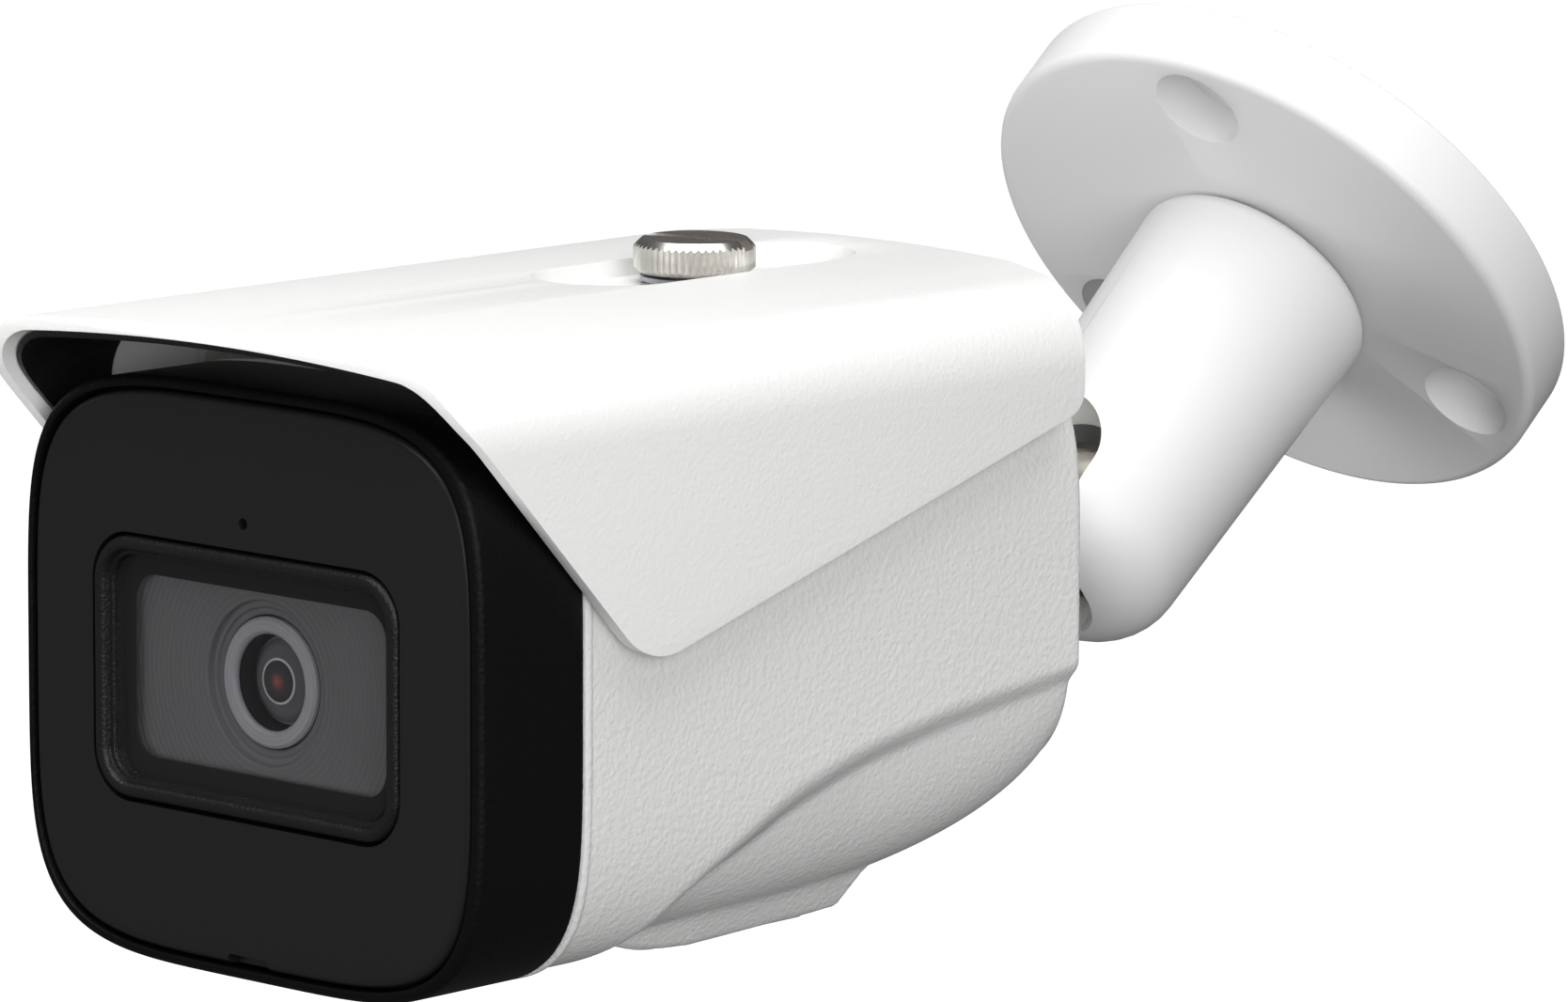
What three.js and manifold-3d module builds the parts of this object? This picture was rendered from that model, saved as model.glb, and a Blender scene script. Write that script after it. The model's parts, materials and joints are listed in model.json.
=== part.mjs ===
// Bullet security camera on a swivelling wall bracket.
// Millimetres, +Z up. The lens looks along -Y and +X is the camera's own left-hand side.
// The origin is the centre of the wall plate's back face, where the bracket meets the wall.
import * as THREE from 'three';
import { mergeVertices } from 'three/addons/utils/BufferGeometryUtils.js';
import Module from 'manifold-3d';

const wasm = await Module();
wasm.setup();

// ---------------------------------------------------------------- driving dimensions
const gap = 0.3; // left between neighbours that touch on the real object
const roundSides = 28; // facets round a plain bore or rod
const outlineSides = 44; // points round the body's squared outlines
const screwSides = 12;

// Wall plate
const plateRadius = 35;
const plateThickness = 8.4;
const plateEdge = 1.1; // rounded rim
const fixingCircle = 27.5; // radius of the screw circle
const fixingTurn = -80; // degrees from +X to the first fixing hole
const fixingCount = 3;
const counterboreRadius = 5.3;
const counterboreDepth = 5.4;
const fixingHoleRadius = 2.4;
const swivelBore = 11.8; // hole that the arm's spigot turns in
const recessRadius = 16; // back recess for the retaining ring
const recessDepth = 4.2;
const ringThickness = 2;

// Arm
const armTilt = 39.75; // degrees between the arm and the level camera
const armLength = 50.1; // plate face to the rounded end
const armRootRadius = 14.5;
const armEndRadius = 12.9;
const armRootRound = 1.8;
const armEndRound = 8.5;
const armBore = 9.4;
const armBoreDepth = 27;
const pivotAlong = 38.3; // plate face to the tilt axis
const slotHalf = 7.4; // half width of the slot that the neck swings in
const pocketRadius = 9.2; // room for the knuckle's barrel

// Knuckle and tilt screw
const barrelRadius = 8.2;
const barrelEdge = 1.6;
const neckRadius = 6.2;
const neckFlangeRadius = 13;
const neckFlangeThickness = 3.4;
const stubRadius = 8;
const cableBore = 3.4;
const pinRadius = 3;
const pinHeadRadius = 4.8;
const pinHeadHeight = 2;

// Camera body, measured from the front of the front cover, on the lens axis
const reach = 129.8; // front plane to the tilt axis
const rollLift = 2.3; // roll axis above the lens axis
const frontHalfWidth = 33.1;
const frontHalfHeight = 30.5;
const frontPower = 4.5; // squareness of the face outline
const coverDepth = 14.2;
const coverEdge = 1;
const rimWidth = 0.8;
const panelGap = 0.75;
const panelThickness = 2.4;
const panelCrown = 0.35;
const ledgeMargin = 2; // ledge opening beyond the bezel at the sides
const lightRowRoom = 7.8; // and above and below it, for the lights
const ledgeThickness = 3.4;
const coverWall = 2.5;
const coverWallAbove = 2.4;

// Window and lens
const bezelHalfWidth = 22;
const bezelHalfHeight = 13.7;
const bezelRadius = 5;
const bezelBand = 2.1;
const glassThickness = 1.2;
const clearHalfWidth = 17.65;
const clearHalfHeight = 9.3;
const lensRadius = 6.75;
const lensThread = 6;
const lensOpening = 5;
const baffleHole = 8.4;
const lensLength = 16.5;

// Housing
const housingSetBack = 0.8; // flanks of the housing inside the front cover's
const housingSetDown = 0.4;
const housingPower = 4.7;
const housingRear = 91;
const housingWall = 2.6;
const housingEdge = 0.8;
const bellySetBack = 2.3; // belly inside the housing's flanks
const bellyRearDepth = 18.3; // depth of the belly below the lens axis at the rear
const bellyFall = 3.4; // how late the belly rises towards the rear
const bellyPower = 3.4;
const bellyStart = 25;
const rearWall = 3;
const gasketRoom = 2.2; // between the front cover's wall and the spigot
const screwInset = 5.4; // cover screws inside the spigot's corner
const spigotWall = 2.2;
const spigotLength = 4.6;

// Card cover underneath
const bossHalfWidth = 20;
const bossFront = 36;
const bossRear = 68;
const bossBottom = -31;
const cardCoverThickness = 2;
const cardCoverMargin = 3;

// Sunshade and its screw
const shadeSideClearance = 0.2; // between the shade and the front cover
const shadeLift = 6.5; // crown of the shade above the front cover
const shadeCrownRadius = 300;
const shadeCornerRadius = 9;
const shadeSheet = 1.5;
const shadeFront = -6.5;
const shadeRear = 93.5;
const shadeRearHalf = 19.3; // half width of the straight part of the rear edge
const shadeCornerCut = 5.4; // how far forward the rear corners are cut
const flapTip = [21.7, 3.3]; // lowest corner of the side flap, Y and Z, before rounding
const flapTipRound = 5;
const flapFrontTop = 32.7;
const flapRearBottom = 22.6;
const flapRearRound = 3;
const screwY = 65;
const headRadius = 6.5;
const headHeight = 4.3;
const headTeeth = 32;
const screwRadius = 2.4;
const channelHalfWidth = 8.2;
const channelHalfLength = 21.5;
const channelDepth = 2;
const shadeTravel = 12;
const linerThickness = 0.6;
const linerRear = 11;
const linerFoot = 21.5; // height where the liner ends beside the front cover
const ribFront = 23.8;
const ribWidth = 2.9;

// Boards
const boardThickness = 1.4;
const sensorBoardFront = 24.3;
const mainBoardFront = 40;

// ---------------------------------------------------------------- worked-out places
const tiltRadians = THREE.MathUtils.degToRad(armTilt);
const plateFace = plateThickness;
const pivotZ = plateFace + pivotAlong; // in the bracket's own frame, +Z away from the wall
const armEnd = plateFace + armLength;
const panelFront = -coverEdge + 0.1;
const ledgeHalfWidth = bezelHalfWidth + ledgeMargin;
const ledgeHalfHeight = bezelHalfHeight + lightRowRoom;
const panelBack = panelFront + panelThickness;
const ledgeFront = panelBack + gap;
const ledgeBack = ledgeFront + ledgeThickness;
const panelHalfWidth = frontHalfWidth - rimWidth - panelGap;
const panelHalfHeight = frontHalfHeight - rimWidth - panelGap;
const cavityHalfWidth = frontHalfWidth - coverWall;
const cavityHalfHeight = frontHalfHeight - coverWallAbove;
const spigotHalfWidth = cavityHalfWidth - gasketRoom;
const spigotHalfHeight = cavityHalfHeight - gasketRoom;
const housingHalfWidth = frontHalfWidth - housingSetBack;
const housingHalfHeight = frontHalfHeight - housingSetDown;
const bellyHalfWidth = housingHalfWidth - bellySetBack;
const shadeHalfWidth = frontHalfWidth + shadeSheet + shadeSideClearance;
const shadeCrown = frontHalfHeight + shadeLift;
const housingFront = coverDepth + gap;
const floorTop = shadeCrown - channelDepth; // channel floor, upper face
const floorUnder = floorTop - shadeSheet;
const washerHeight = 0.5;
const headBottom = floorTop + gap + washerHeight + gap;
const headTop = headBottom + headHeight;
const ledBoardFront = ledgeBack + gap;
const lensFront = panelFront + 3.1;
const holderBase = sensorBoardFront - gap - 5.8;

// ---------------------------------------------------------------- geometry helpers
function solidOf(geometry) {
  const bare = geometry.clone();
  for (const name of Object.keys(bare.attributes)) {
    if (name !== 'position') {
      bare.deleteAttribute(name);
    }
  }
  const merged = mergeVertices(bare, 1e-4);
  return new wasm.Manifold(new wasm.Mesh({
    numProp: 3,
    vertProperties: Float32Array.from(merged.attributes.position.array),
    triVerts: Uint32Array.from(merged.index.array),
  }));
}

function geometryOf(solid) {
  const mesh = solid.getMesh();
  const geometry = new THREE.BufferGeometry();
  geometry.setAttribute('position', new THREE.BufferAttribute(Float32Array.from(mesh.vertProperties), 3));
  geometry.setIndex(new THREE.BufferAttribute(Uint32Array.from(mesh.triVerts), 1));
  geometry.computeVertexNormals();
  return geometry;
}

// Joins the added geometries to the first one, then cuts the removed ones from it.
function build(first, added = [], removed = []) {
  let solid = solidOf(first);
  for (const geometry of added) {
    solid = solid.add(solidOf(geometry));
  }
  for (const geometry of removed) {
    solid = solid.subtract(solidOf(geometry));
  }
  return geometryOf(solid);
}

function common(first, second) {
  return geometryOf(solidOf(first).intersect(solidOf(second)));
}

function block(x, y, z) {
  const box = new THREE.BoxGeometry(x[1] - x[0], y[1] - y[0], z[1] - z[0]);
  return box.translate((x[0] + x[1]) / 2, (y[0] + y[1]) / 2, (z[0] + z[1]) / 2);
}

// A rod along X, Y or Z between two values of that axis, centred on the other two.
function rod(axis, radius, from, to, centre = [0, 0], sides = roundSides) {
  const geometry = new THREE.CylinderGeometry(radius, radius, to - from, sides);
  const middle = (from + to) / 2;
  if (axis === 'x') {
    return geometry.rotateZ(-Math.PI / 2).translate(middle, centre[0], centre[1]);
  }
  if (axis === 'y') {
    return geometry.translate(centre[0], middle, centre[1]);
  }
  return geometry.rotateX(Math.PI / 2).translate(centre[0], centre[1], middle);
}

// Turns a profile of [radius, height] points about Y, or about Z when asked.
function turned(profile, axis = 'y', sides = roundSides) {
  const points = profile.map(([radius, height]) => new THREE.Vector2(radius, height));
  points.push(points[0].clone());
  const geometry = new THREE.LatheGeometry(points, sides);
  return axis === 'y' ? geometry : geometry.rotateX(Math.PI / 2);
}

function ring(axis, outer, inner, from, to, centre = [0, 0]) {
  const geometry = turned([[inner, from], [outer, from], [outer, to], [inner, to]], axis);
  if (axis === 'y') {
    return geometry.translate(centre[0], 0, centre[1]);
  }
  return geometry.translate(centre[0], centre[1], 0);
}

// Points of a squared ellipse, anticlockwise from +X.
function squaredEllipse(halfWidth, up, down, power, count = outlineSides) {
  const points = [];
  for (let i = 0; i < count; i += 1) {
    const angle = (2 * Math.PI * (i + 0.5)) / count;
    const c = Math.cos(angle);
    const s = Math.sin(angle);
    const length = (Math.abs(c) ** power + Math.abs(s) ** power) ** (-1 / power);
    points.push([halfWidth * length * c, (s > 0 ? up : down) * length * s]);
  }
  return points;
}

// A closed skin through outlines that have the same number of points, one for each place along Y.
function loft(sections) {
  const count = sections[0].outline.length;
  const positions = [];
  const faces = [];
  for (const { y, outline } of sections) {
    for (const [x, z] of outline) {
      positions.push(x, y, z);
    }
  }
  for (let row = 0; row + 1 < sections.length; row += 1) {
    for (let i = 0; i < count; i += 1) {
      const a = row * count + i;
      const b = row * count + ((i + 1) % count);
      faces.push(a, a + count, b, b, a + count, b + count);
    }
  }
  for (const row of [0, sections.length - 1]) {
    const centre = positions.length / 3;
    positions.push(0, sections[row].y, 0);
    for (let i = 0; i < count; i += 1) {
      const a = row * count + i;
      const b = row * count + ((i + 1) % count);
      faces.push(...(row === 0 ? [centre, a, b] : [centre, b, a]));
    }
  }
  const geometry = new THREE.BufferGeometry();
  geometry.setAttribute('position', new THREE.Float32BufferAttribute(positions, 3));
  geometry.setIndex(faces);
  return geometry;
}

function squaredSlab(halfWidth, halfHeight, power, front, rear, count = outlineSides) {
  const outline = squaredEllipse(halfWidth, halfHeight, halfHeight, power, count);
  return loft([{ y: front, outline }, { y: rear, outline }]);
}

function roundedShape(halfWidth, halfHeight, radius) {
  const shape = new THREE.Shape();
  shape.moveTo(halfWidth, -halfHeight + radius);
  shape.lineTo(halfWidth, halfHeight - radius);
  shape.absarc(halfWidth - radius, halfHeight - radius, radius, 0, Math.PI / 2);
  shape.lineTo(-halfWidth + radius, halfHeight);
  shape.absarc(-halfWidth + radius, halfHeight - radius, radius, Math.PI / 2, Math.PI);
  shape.lineTo(-halfWidth, -halfHeight + radius);
  shape.absarc(-halfWidth + radius, -halfHeight + radius, radius, Math.PI, Math.PI * 1.5);
  shape.lineTo(halfWidth - radius, -halfHeight);
  shape.absarc(halfWidth - radius, -halfHeight + radius, radius, Math.PI * 1.5, Math.PI * 2);
  return shape;
}

// A shape drawn in X and Z, given thickness along Y.
function plateY(shape, front, rear, steps = 5) {
  const settings = { depth: rear - front, bevelEnabled: false, curveSegments: steps };
  const geometry = new THREE.ExtrudeGeometry(shape, settings);
  return geometry.rotateX(Math.PI / 2).translate(0, rear, 0);
}

// A shape drawn in X and Y, given thickness along Z.
function plateZ(shape, bottom, top, steps = 7) {
  const settings = { depth: top - bottom, bevelEnabled: false, curveSegments: steps };
  const geometry = new THREE.ExtrudeGeometry(shape, settings);
  return geometry.translate(0, 0, bottom);
}

// A shape drawn in Y and Z, given thickness along X on both sides of the middle.
function plateX(shape, half) {
  const settings = { depth: 2 * half, bevelEnabled: false, curveSegments: 5 };
  const geometry = new THREE.ExtrudeGeometry(shape, settings);
  return geometry.rotateY(Math.PI / 2).rotateX(Math.PI / 2).translate(-half, 0, 0);
}

function roundedPlateY(halfWidth, halfHeight, radius, front, rear) {
  return plateY(roundedShape(halfWidth, halfHeight, radius), front, rear);
}

function quarterRound(radius, steps) {
  const points = [];
  for (let i = 0; i <= steps; i += 1) {
    const angle = (i / steps) * Math.PI / 2;
    points.push([radius * Math.cos(angle), radius * Math.sin(angle)]);
  }
  return points;
}

// ---------------------------------------------------------------- finishes and the scene
const finishes = {
  white_paint: [0xe6e7e8, 0.55, 0],
  white_bracket: [0xe9eaeb, 0.45, 0],
  black_paint: [0x161617, 0.6, 0],
  panel: [0x242426, 0.35, 0],
  black_plastic: [0x1b1b1c, 0.5, 0],
  clear_glass: [0x6a6a70, 0.1, 0],
  dark_mask: [0x101011, 0.5, 0],
  baffle: [0x3a3a3c, 0.6, 0],
  lens_grey: [0x9797a0, 0.4, 0.2],
  nickel: [0xc9c6bd, 0.28, 1],
  steel: [0xaeb0b3, 0.35, 1],
  rubber: [0x222222, 0.85, 0],
  board_green: [0x1f5a38, 0.5, 0],
  chip: [0x1c1c20, 0.4, 0],
  aluminium: [0xb9bcc0, 0.4, 1],
  thermal_pad: [0x7c8fa8, 0.8, 0],
  white_plastic: [0xeceae4, 0.5, 0],
  brass: [0xb99a4e, 0.35, 1],
  led_lens: [0xd9dce2, 0.15, 0],
};

const camera = new THREE.Group();
const bracket = new THREE.Group();
const cameraBody = new THREE.Group();
camera.add(bracket, cameraBody);

// The bracket's own frame has +Z away from the wall along the arm and +Y towards the camera body.
bracket.rotation.x = Math.PI / 2 + tiltRadians;
const wallNormal = new THREE.Vector3(0, -Math.cos(tiltRadians), -Math.sin(tiltRadians));
const pivot = wallNormal.clone().multiplyScalar(pivotZ);
cameraBody.position.set(0, pivot.y - reach, pivot.z - rollLift);

function place(parent, name, finish, geometry) {
  const [color, roughness, metalness] = finishes[finish];
  const material = new THREE.MeshStandardMaterial({ color, roughness, metalness });
  const mesh = new THREE.Mesh(geometry, material);
  mesh.name = name;
  parent.add(mesh);
}

// ---------------------------------------------------------------- wall plate and swivel
function makeWallPlate() {
  const rim = [[plateRadius, 0]];
  for (const [x, y] of quarterRound(plateEdge, 2)) {
    rim.push([plateRadius - plateEdge + x, plateFace - plateEdge + y]);
  }
  const disc = turned([[0, 0], ...rim, [0, plateFace]], 'z', 56);
  const cuts = [rod('z', swivelBore, -1, plateFace + 1)];
  cuts.push(rod('z', recessRadius, -1, recessDepth));
  for (let i = 0; i < fixingCount; i += 1) {
    const angle = THREE.MathUtils.degToRad(fixingTurn + (360 / fixingCount) * i);
    const centre = [fixingCircle * Math.cos(angle), -fixingCircle * Math.sin(angle)];
    cuts.push(rod('z', counterboreRadius, plateFace - counterboreDepth, plateFace + 1, centre, 20));
    cuts.push(rod('z', fixingHoleRadius, -1, plateFace, centre, screwSides));
  }
  return build(disc, [], cuts);
}

const spigotRadius = swivelBore - gap;
const ringInner = spigotRadius + gap;
place(bracket, 'wall_plate', 'white_bracket', makeWallPlate());
place(bracket, 'arm_retaining_ring', 'steel',
  ring('z', recessRadius - 1, ringInner, 0.5, 0.5 + ringThickness));
place(bracket, 'wave_washer', 'steel',
  ring('z', recessRadius - 1.2, ringInner + 0.4, 0.5 + ringThickness + gap, recessDepth - gap));

// ---------------------------------------------------------------- arm
function makeArm() {
  const foot = plateFace + gap + 0.1;
  const outline = [[armBore, 0.5], [spigotRadius, 0.5], [spigotRadius, foot]];
  for (const [x, y] of quarterRound(armRootRound, 2).reverse()) {
    outline.push([armRootRadius - armRootRound + y, foot + armRootRound - x]);
  }
  outline.sort((a, b) => a[1] - b[1] || a[0] - b[0]);
  for (const [x, y] of quarterRound(armEndRound, 5)) {
    outline.push([armEndRadius - armEndRound + x, armEnd - armEndRound + y]);
  }
  const profile = [[0, 0.5], ...outline.slice(1), [0, armEnd]];
  const body = turned(profile, 'z', 40);
  const beyond = 2 * armRootRadius;
  const headSeat = -(pinSeat + gap);
  const cuts = [
    rod('z', armBore, -1, plateFace + armBoreDepth, [0, 0]),
    block([-slotHalf, slotHalf], [-armBore + 1.2, armBore - 1.2], [plateFace + armBoreDepth - 1, pivotZ]),
    rod('x', pocketRadius, -slotHalf, slotHalf, [0, pivotZ], 32),
    rod('y', slotHalf, 0, beyond, [0, pivotZ]),
    rod('z', slotHalf, pivotZ, pivotZ + beyond, [0, 0]),
    block([-slotHalf, slotHalf], [0, beyond], [pivotZ, pivotZ + beyond]),
    rod('x', pinRadius + gap, headSeat - 1, pinTip + gap, [0, pivotZ], 16),
    rod('x', pinHeadRadius + gap, -beyond, headSeat, [0, pivotZ], 20),
  ];
  return build(body, [], cuts);
}

const pinSeat = slotHalf + 3;
const pinTip = slotHalf + 3.4;
place(bracket, 'arm', 'white_bracket', makeArm());

function makeTiltScrew() {
  const headFace = -(pinSeat + gap + pinHeadHeight + gap);
  const shank = rod('x', pinRadius, headFace + pinHeadHeight - 0.5, pinTip, [0, pivotZ], 16);
  const head = rod('x', pinHeadRadius, headFace, headFace + pinHeadHeight, [0, pivotZ], 20);
  const socket = rod('x', 2.3, headFace - 1, headFace + 1.3, [0, pivotZ], 6);
  return build(shank, [head], [socket]);
}
place(bracket, 'tilt_screw', 'nickel', makeTiltScrew());

// ---------------------------------------------------------------- knuckle, its nut and seal
const sealThickness = 1.2;
const flangeFront = housingRear + gap + sealThickness + gap;
const flangeRear = flangeFront + neckFlangeThickness;
const stubFront = housingRear - rearWall - 4.6;
const rollCentre = [0, rollLift];

function makeKnuckle() {
  const half = slotHalf - 0.4;
  const barrel = turned([
    [0, -half], [barrelRadius - barrelEdge, -half], [barrelRadius, -half + barrelEdge],
    [barrelRadius, half - barrelEdge], [barrelRadius - barrelEdge, half], [0, half],
  ]).rotateZ(-Math.PI / 2).translate(0, reach, rollLift);
  const neck = rod('y', neckRadius, flangeRear - 1, reach, rollCentre);
  const flange = rod('y', neckFlangeRadius, flangeFront, flangeRear, rollCentre, 36);
  const stub = rod('y', stubRadius, stubFront, flangeFront + 1, rollCentre);
  const boreEnd = reach - barrelRadius - 3;
  const cuts = [
    rod('y', cableBore, stubFront - 1, boreEnd, rollCentre, 16),
    block([-cableBore, cableBore], [boreEnd - 2 * cableBore, boreEnd],
      [rollLift, rollLift + 2 * neckRadius]),
    rod('x', pinRadius + gap, -2 * slotHalf, 2 * slotHalf, [reach, rollLift], 16),
  ];
  return build(barrel, [neck, flange, stub], cuts);
}
place(cameraBody, 'knuckle', 'nickel', makeKnuckle());
place(cameraBody, 'neck_seal', 'rubber',
  ring('y', neckFlangeRadius - 0.5, stubRadius + gap, housingRear + gap,
    housingRear + gap + sealThickness, rollCentre));

function makeNeckNut() {
  const nutRear = housingRear - rearWall - gap;
  const hexagon = rod('y', stubRadius + 3.6, nutRear - 4, nutRear, rollCentre, 6);
  return build(hexagon, [], [rod('y', stubRadius + gap, nutRear - 6, nutRear + 1, rollCentre)]);
}
place(cameraBody, 'neck_nut', 'brass', makeNeckNut());

// ---------------------------------------------------------------- housing
// Depth of the belly below the lens axis at a place along the body, less an inset.
function bellyDepth(y) {
  const t = Math.max(0, (y - bellyStart) / (housingRear - bellyStart));
  return bellyRearDepth + (housingHalfHeight - bellyRearDepth) * Math.sqrt(Math.max(0, 1 - t ** bellyFall));
}

function bellySections(inset, front, rear) {
  const sections = [];
  const steps = 9;
  for (let i = 0; i <= steps; i += 1) {
    const share = 1 - (1 - i / steps) ** 1.6;
    const y = front + (rear - front) * share;
    const probe = Math.min(y + inset, housingRear);
    const outline = squaredEllipse(bellyHalfWidth - inset, housingHalfHeight - inset,
      bellyDepth(probe) - inset, bellyPower);
    sections.push({ y, outline });
  }
  return sections;
}

// Side line below which the outer wall is cut back to the belly.
function creaseShape() {
  const line = new THREE.SplineCurve([
    new THREE.Vector2(housingRear + 1, -5), new THREE.Vector2(68, -8.2), new THREE.Vector2(45, -13.8),
    new THREE.Vector2(33, -19.3), new THREE.Vector2(22, -25), new THREE.Vector2(15.5, -31),
  ]);
  const points = line.getPoints(14);
  const floor = -housingHalfHeight - 5;
  points.push(new THREE.Vector2(15.5, floor), new THREE.Vector2(housingRear + 1, floor));
  return new THREE.Shape(points);
}

function makeHousing() {
  const outline = squaredEllipse(housingHalfWidth, housingHalfHeight, housingHalfHeight, housingPower);
  const drawnIn = squaredEllipse(housingHalfWidth - housingEdge, housingHalfHeight - housingEdge,
    housingHalfHeight - housingEdge, housingPower);
  const shell = loft([
    { y: housingFront, outline: drawnIn }, { y: housingFront + housingEdge, outline },
    { y: housingRear - housingEdge, outline }, { y: housingRear, outline: drawnIn },
  ]);
  const upper = build(shell, [], [plateX(creaseShape(), housingHalfWidth + 5)]);
  const spigot = squaredSlab(spigotHalfWidth, spigotHalfHeight, housingPower,
    housingFront - spigotLength, housingFront + 3);
  const boss = block([-bossHalfWidth, bossHalfWidth], [bossFront, bossRear], [bossBottom, -20]);
  const rail = block([-5, 5], [screwY - channelHalfLength, screwY + channelHalfLength],
    [housingHalfHeight - 2, floorUnder - gap]);
  const rise = bossBottom + cardCoverThickness + gap;
  const well = block([-bossHalfWidth + cardCoverMargin - gap, bossHalfWidth - cardCoverMargin + gap],
    [bossFront + cardCoverMargin - gap, bossRear - cardCoverMargin + gap], [bossBottom - 1, rise]);
  const access = block([-10, 10], [bossFront + 10, bossRear - 10], [bossBottom, -18]);
  const cuts = [
    squaredSlab(spigotHalfWidth - spigotWall, spigotHalfHeight - spigotWall, housingPower,
      housingFront - 8, housingFront + 3),
    loft(bellySections(housingWall + 0.6, housingFront + 2, housingRear - rearWall)),
    well,
    access,
    rod('y', stubRadius + gap, housingRear - rearWall - 2, housingRear + 2, rollCentre),
    rod('z', insertRadius + gap, housingHalfHeight - 9, floorUnder + 1, [0, screwY], 20),
  ];
  for (const [x, z] of coverScrewPlaces) {
    cuts.push(rod('y', 1.5, housingFront - spigotLength - 1, housingFront + 1.2, [x, z], screwSides));
  }
  for (const y of cardScrewPlaces) {
    cuts.push(rod('z', 1.5, bossBottom, rise + 2.2, [0, y], screwSides));
  }
  return build(upper, [loft(bellySections(0, housingFront + 1, housingRear)), spigot, boss, rail], cuts);
}

const insertRadius = 3.6;
const coverScrewPlaces = [[-1, -1], [1, -1], [1, 1], [-1, 1]]
  .map(([x, z]) => [x * (spigotHalfWidth - screwInset), z * (spigotHalfHeight - screwInset)]);
const cardScrewPlaces = [bossFront + cardCoverMargin + 3, bossRear - cardCoverMargin - 3];
place(cameraBody, 'housing', 'white_paint', makeHousing());
place(cameraBody, 'shade_screw_insert', 'brass',
  ring('z', insertRadius, screwRadius + gap, housingHalfHeight - 7.5, floorUnder - gap, [0, screwY]));

// ---------------------------------------------------------------- card cover
function makeCardCover() {
  const top = bossBottom + cardCoverThickness;
  const plate = block([-bossHalfWidth + cardCoverMargin, bossHalfWidth - cardCoverMargin],
    [bossFront + cardCoverMargin, bossRear - cardCoverMargin], [bossBottom, top]);
  const cuts = [];
  for (const y of cardScrewPlaces) {
    cuts.push(rod('z', 1.5, bossBottom - 1, top + 1, [0, y], screwSides));
    cuts.push(rod('z', 2.8, bossBottom - 1, bossBottom + 1.1, [0, y], 16));
  }
  return build(plate, [], cuts);
}
place(cameraBody, 'card_cover', 'white_paint', makeCardCover());

cardScrewPlaces.forEach((y, i) => {
  const head = rod('z', 2.4, bossBottom - 0.1, bossBottom + 0.8, [0, y], 16);
  const shank = rod('z', 1.15, bossBottom + 0.4, bossBottom + cardCoverThickness + 2, [0, y], screwSides);
  const cross = block([-1.4, 1.4], [y - 0.35, y + 0.35], [bossBottom - 1, bossBottom + 0.4]);
  place(cameraBody, `card_cover_screw_${i + 1}`, 'steel', build(head, [shank], [cross]));
});

// ---------------------------------------------------------------- front cover, panel and window
function makeFrontCover() {
  const profile = (inset) => squaredEllipse(frontHalfWidth - inset, frontHalfHeight - inset,
    frontHalfHeight - inset, frontPower);
  const sections = [];
  for (const [x, y] of quarterRound(coverEdge, 2).reverse()) {
    sections.push({ y: panelFront + coverEdge - y, outline: profile(coverEdge - x) });
  }
  sections.push({ y: coverDepth, outline: profile(0) });
  const cuts = [
    squaredSlab(frontHalfWidth - rimWidth - 0.3, frontHalfHeight - rimWidth - 0.3, frontPower,
      panelFront - 3, ledgeFront),
    squaredSlab(ledgeHalfWidth, ledgeHalfHeight, frontPower, panelFront - 3, ledgeBack + 3),
    squaredSlab(cavityHalfWidth, cavityHalfHeight, frontPower, ledgeBack, coverDepth + 3),
  ];
  for (const [x, z] of coverScrewPlaces) {
    cuts.push(rod('y', 2.5, ledgeFront - 1, ledgeFront + 1.6, [x, z], 16));
    cuts.push(rod('y', 1.5, ledgeFront - 1, ledgeBack + 1, [x, z], screwSides));
  }
  return build(loft(sections), [], cuts);
}
place(cameraBody, 'front_cover', 'black_paint', makeFrontCover());

coverScrewPlaces.forEach(([x, z], i) => {
  const head = rod('y', 2.2, ledgeFront + 0.1, ledgeFront + 1.3, [x, z], screwSides);
  const shank = rod('y', 1.2, ledgeFront + 1, housingFront + 0.9, [x, z], screwSides);
  place(cameraBody, `cover_screw_${i + 1}`, 'steel', build(head, [shank]));
});

function makeFrontGasket() {
  const front = housingFront - spigotLength + 1.2;
  const band = squaredSlab(cavityHalfWidth - gap, cavityHalfHeight - gap, frontPower, front, front + 1.8);
  return build(band, [], [squaredSlab(spigotHalfWidth + gap, spigotHalfHeight + gap, housingPower,
    front - 2, front + 4)]);
}
place(cameraBody, 'front_gasket', 'rubber', makeFrontGasket());

const micHeight = 16.7;
function makeFrontPanel() {
  const profile = (inset) => squaredEllipse(panelHalfWidth - inset, panelHalfHeight - inset,
    panelHalfHeight - inset, frontPower);
  const sections = [
    { y: panelFront - panelCrown, outline: profile(9) },
    { y: panelFront - panelCrown * 0.8, outline: profile(4) },
    { y: panelFront, outline: profile(0.9) },
    { y: panelFront + 0.7, outline: profile(0) },
    { y: panelBack, outline: profile(0) },
  ];
  const cuts = [
    roundedPlateY(bezelHalfWidth + gap, bezelHalfHeight + gap, bezelRadius + gap,
      panelFront - 3, panelBack + 2),
    rod('y', 0.6, panelFront - 3, panelBack + 2, [0, micHeight], 12),
    block([-2.9, 2.9], [panelFront - 3, panelBack - 1], [-panelHalfHeight - 2, -panelHalfHeight + 1.1]),
  ];
  return build(loft(sections), [], cuts);
}
place(cameraBody, 'front_panel', 'panel', makeFrontPanel());

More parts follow.
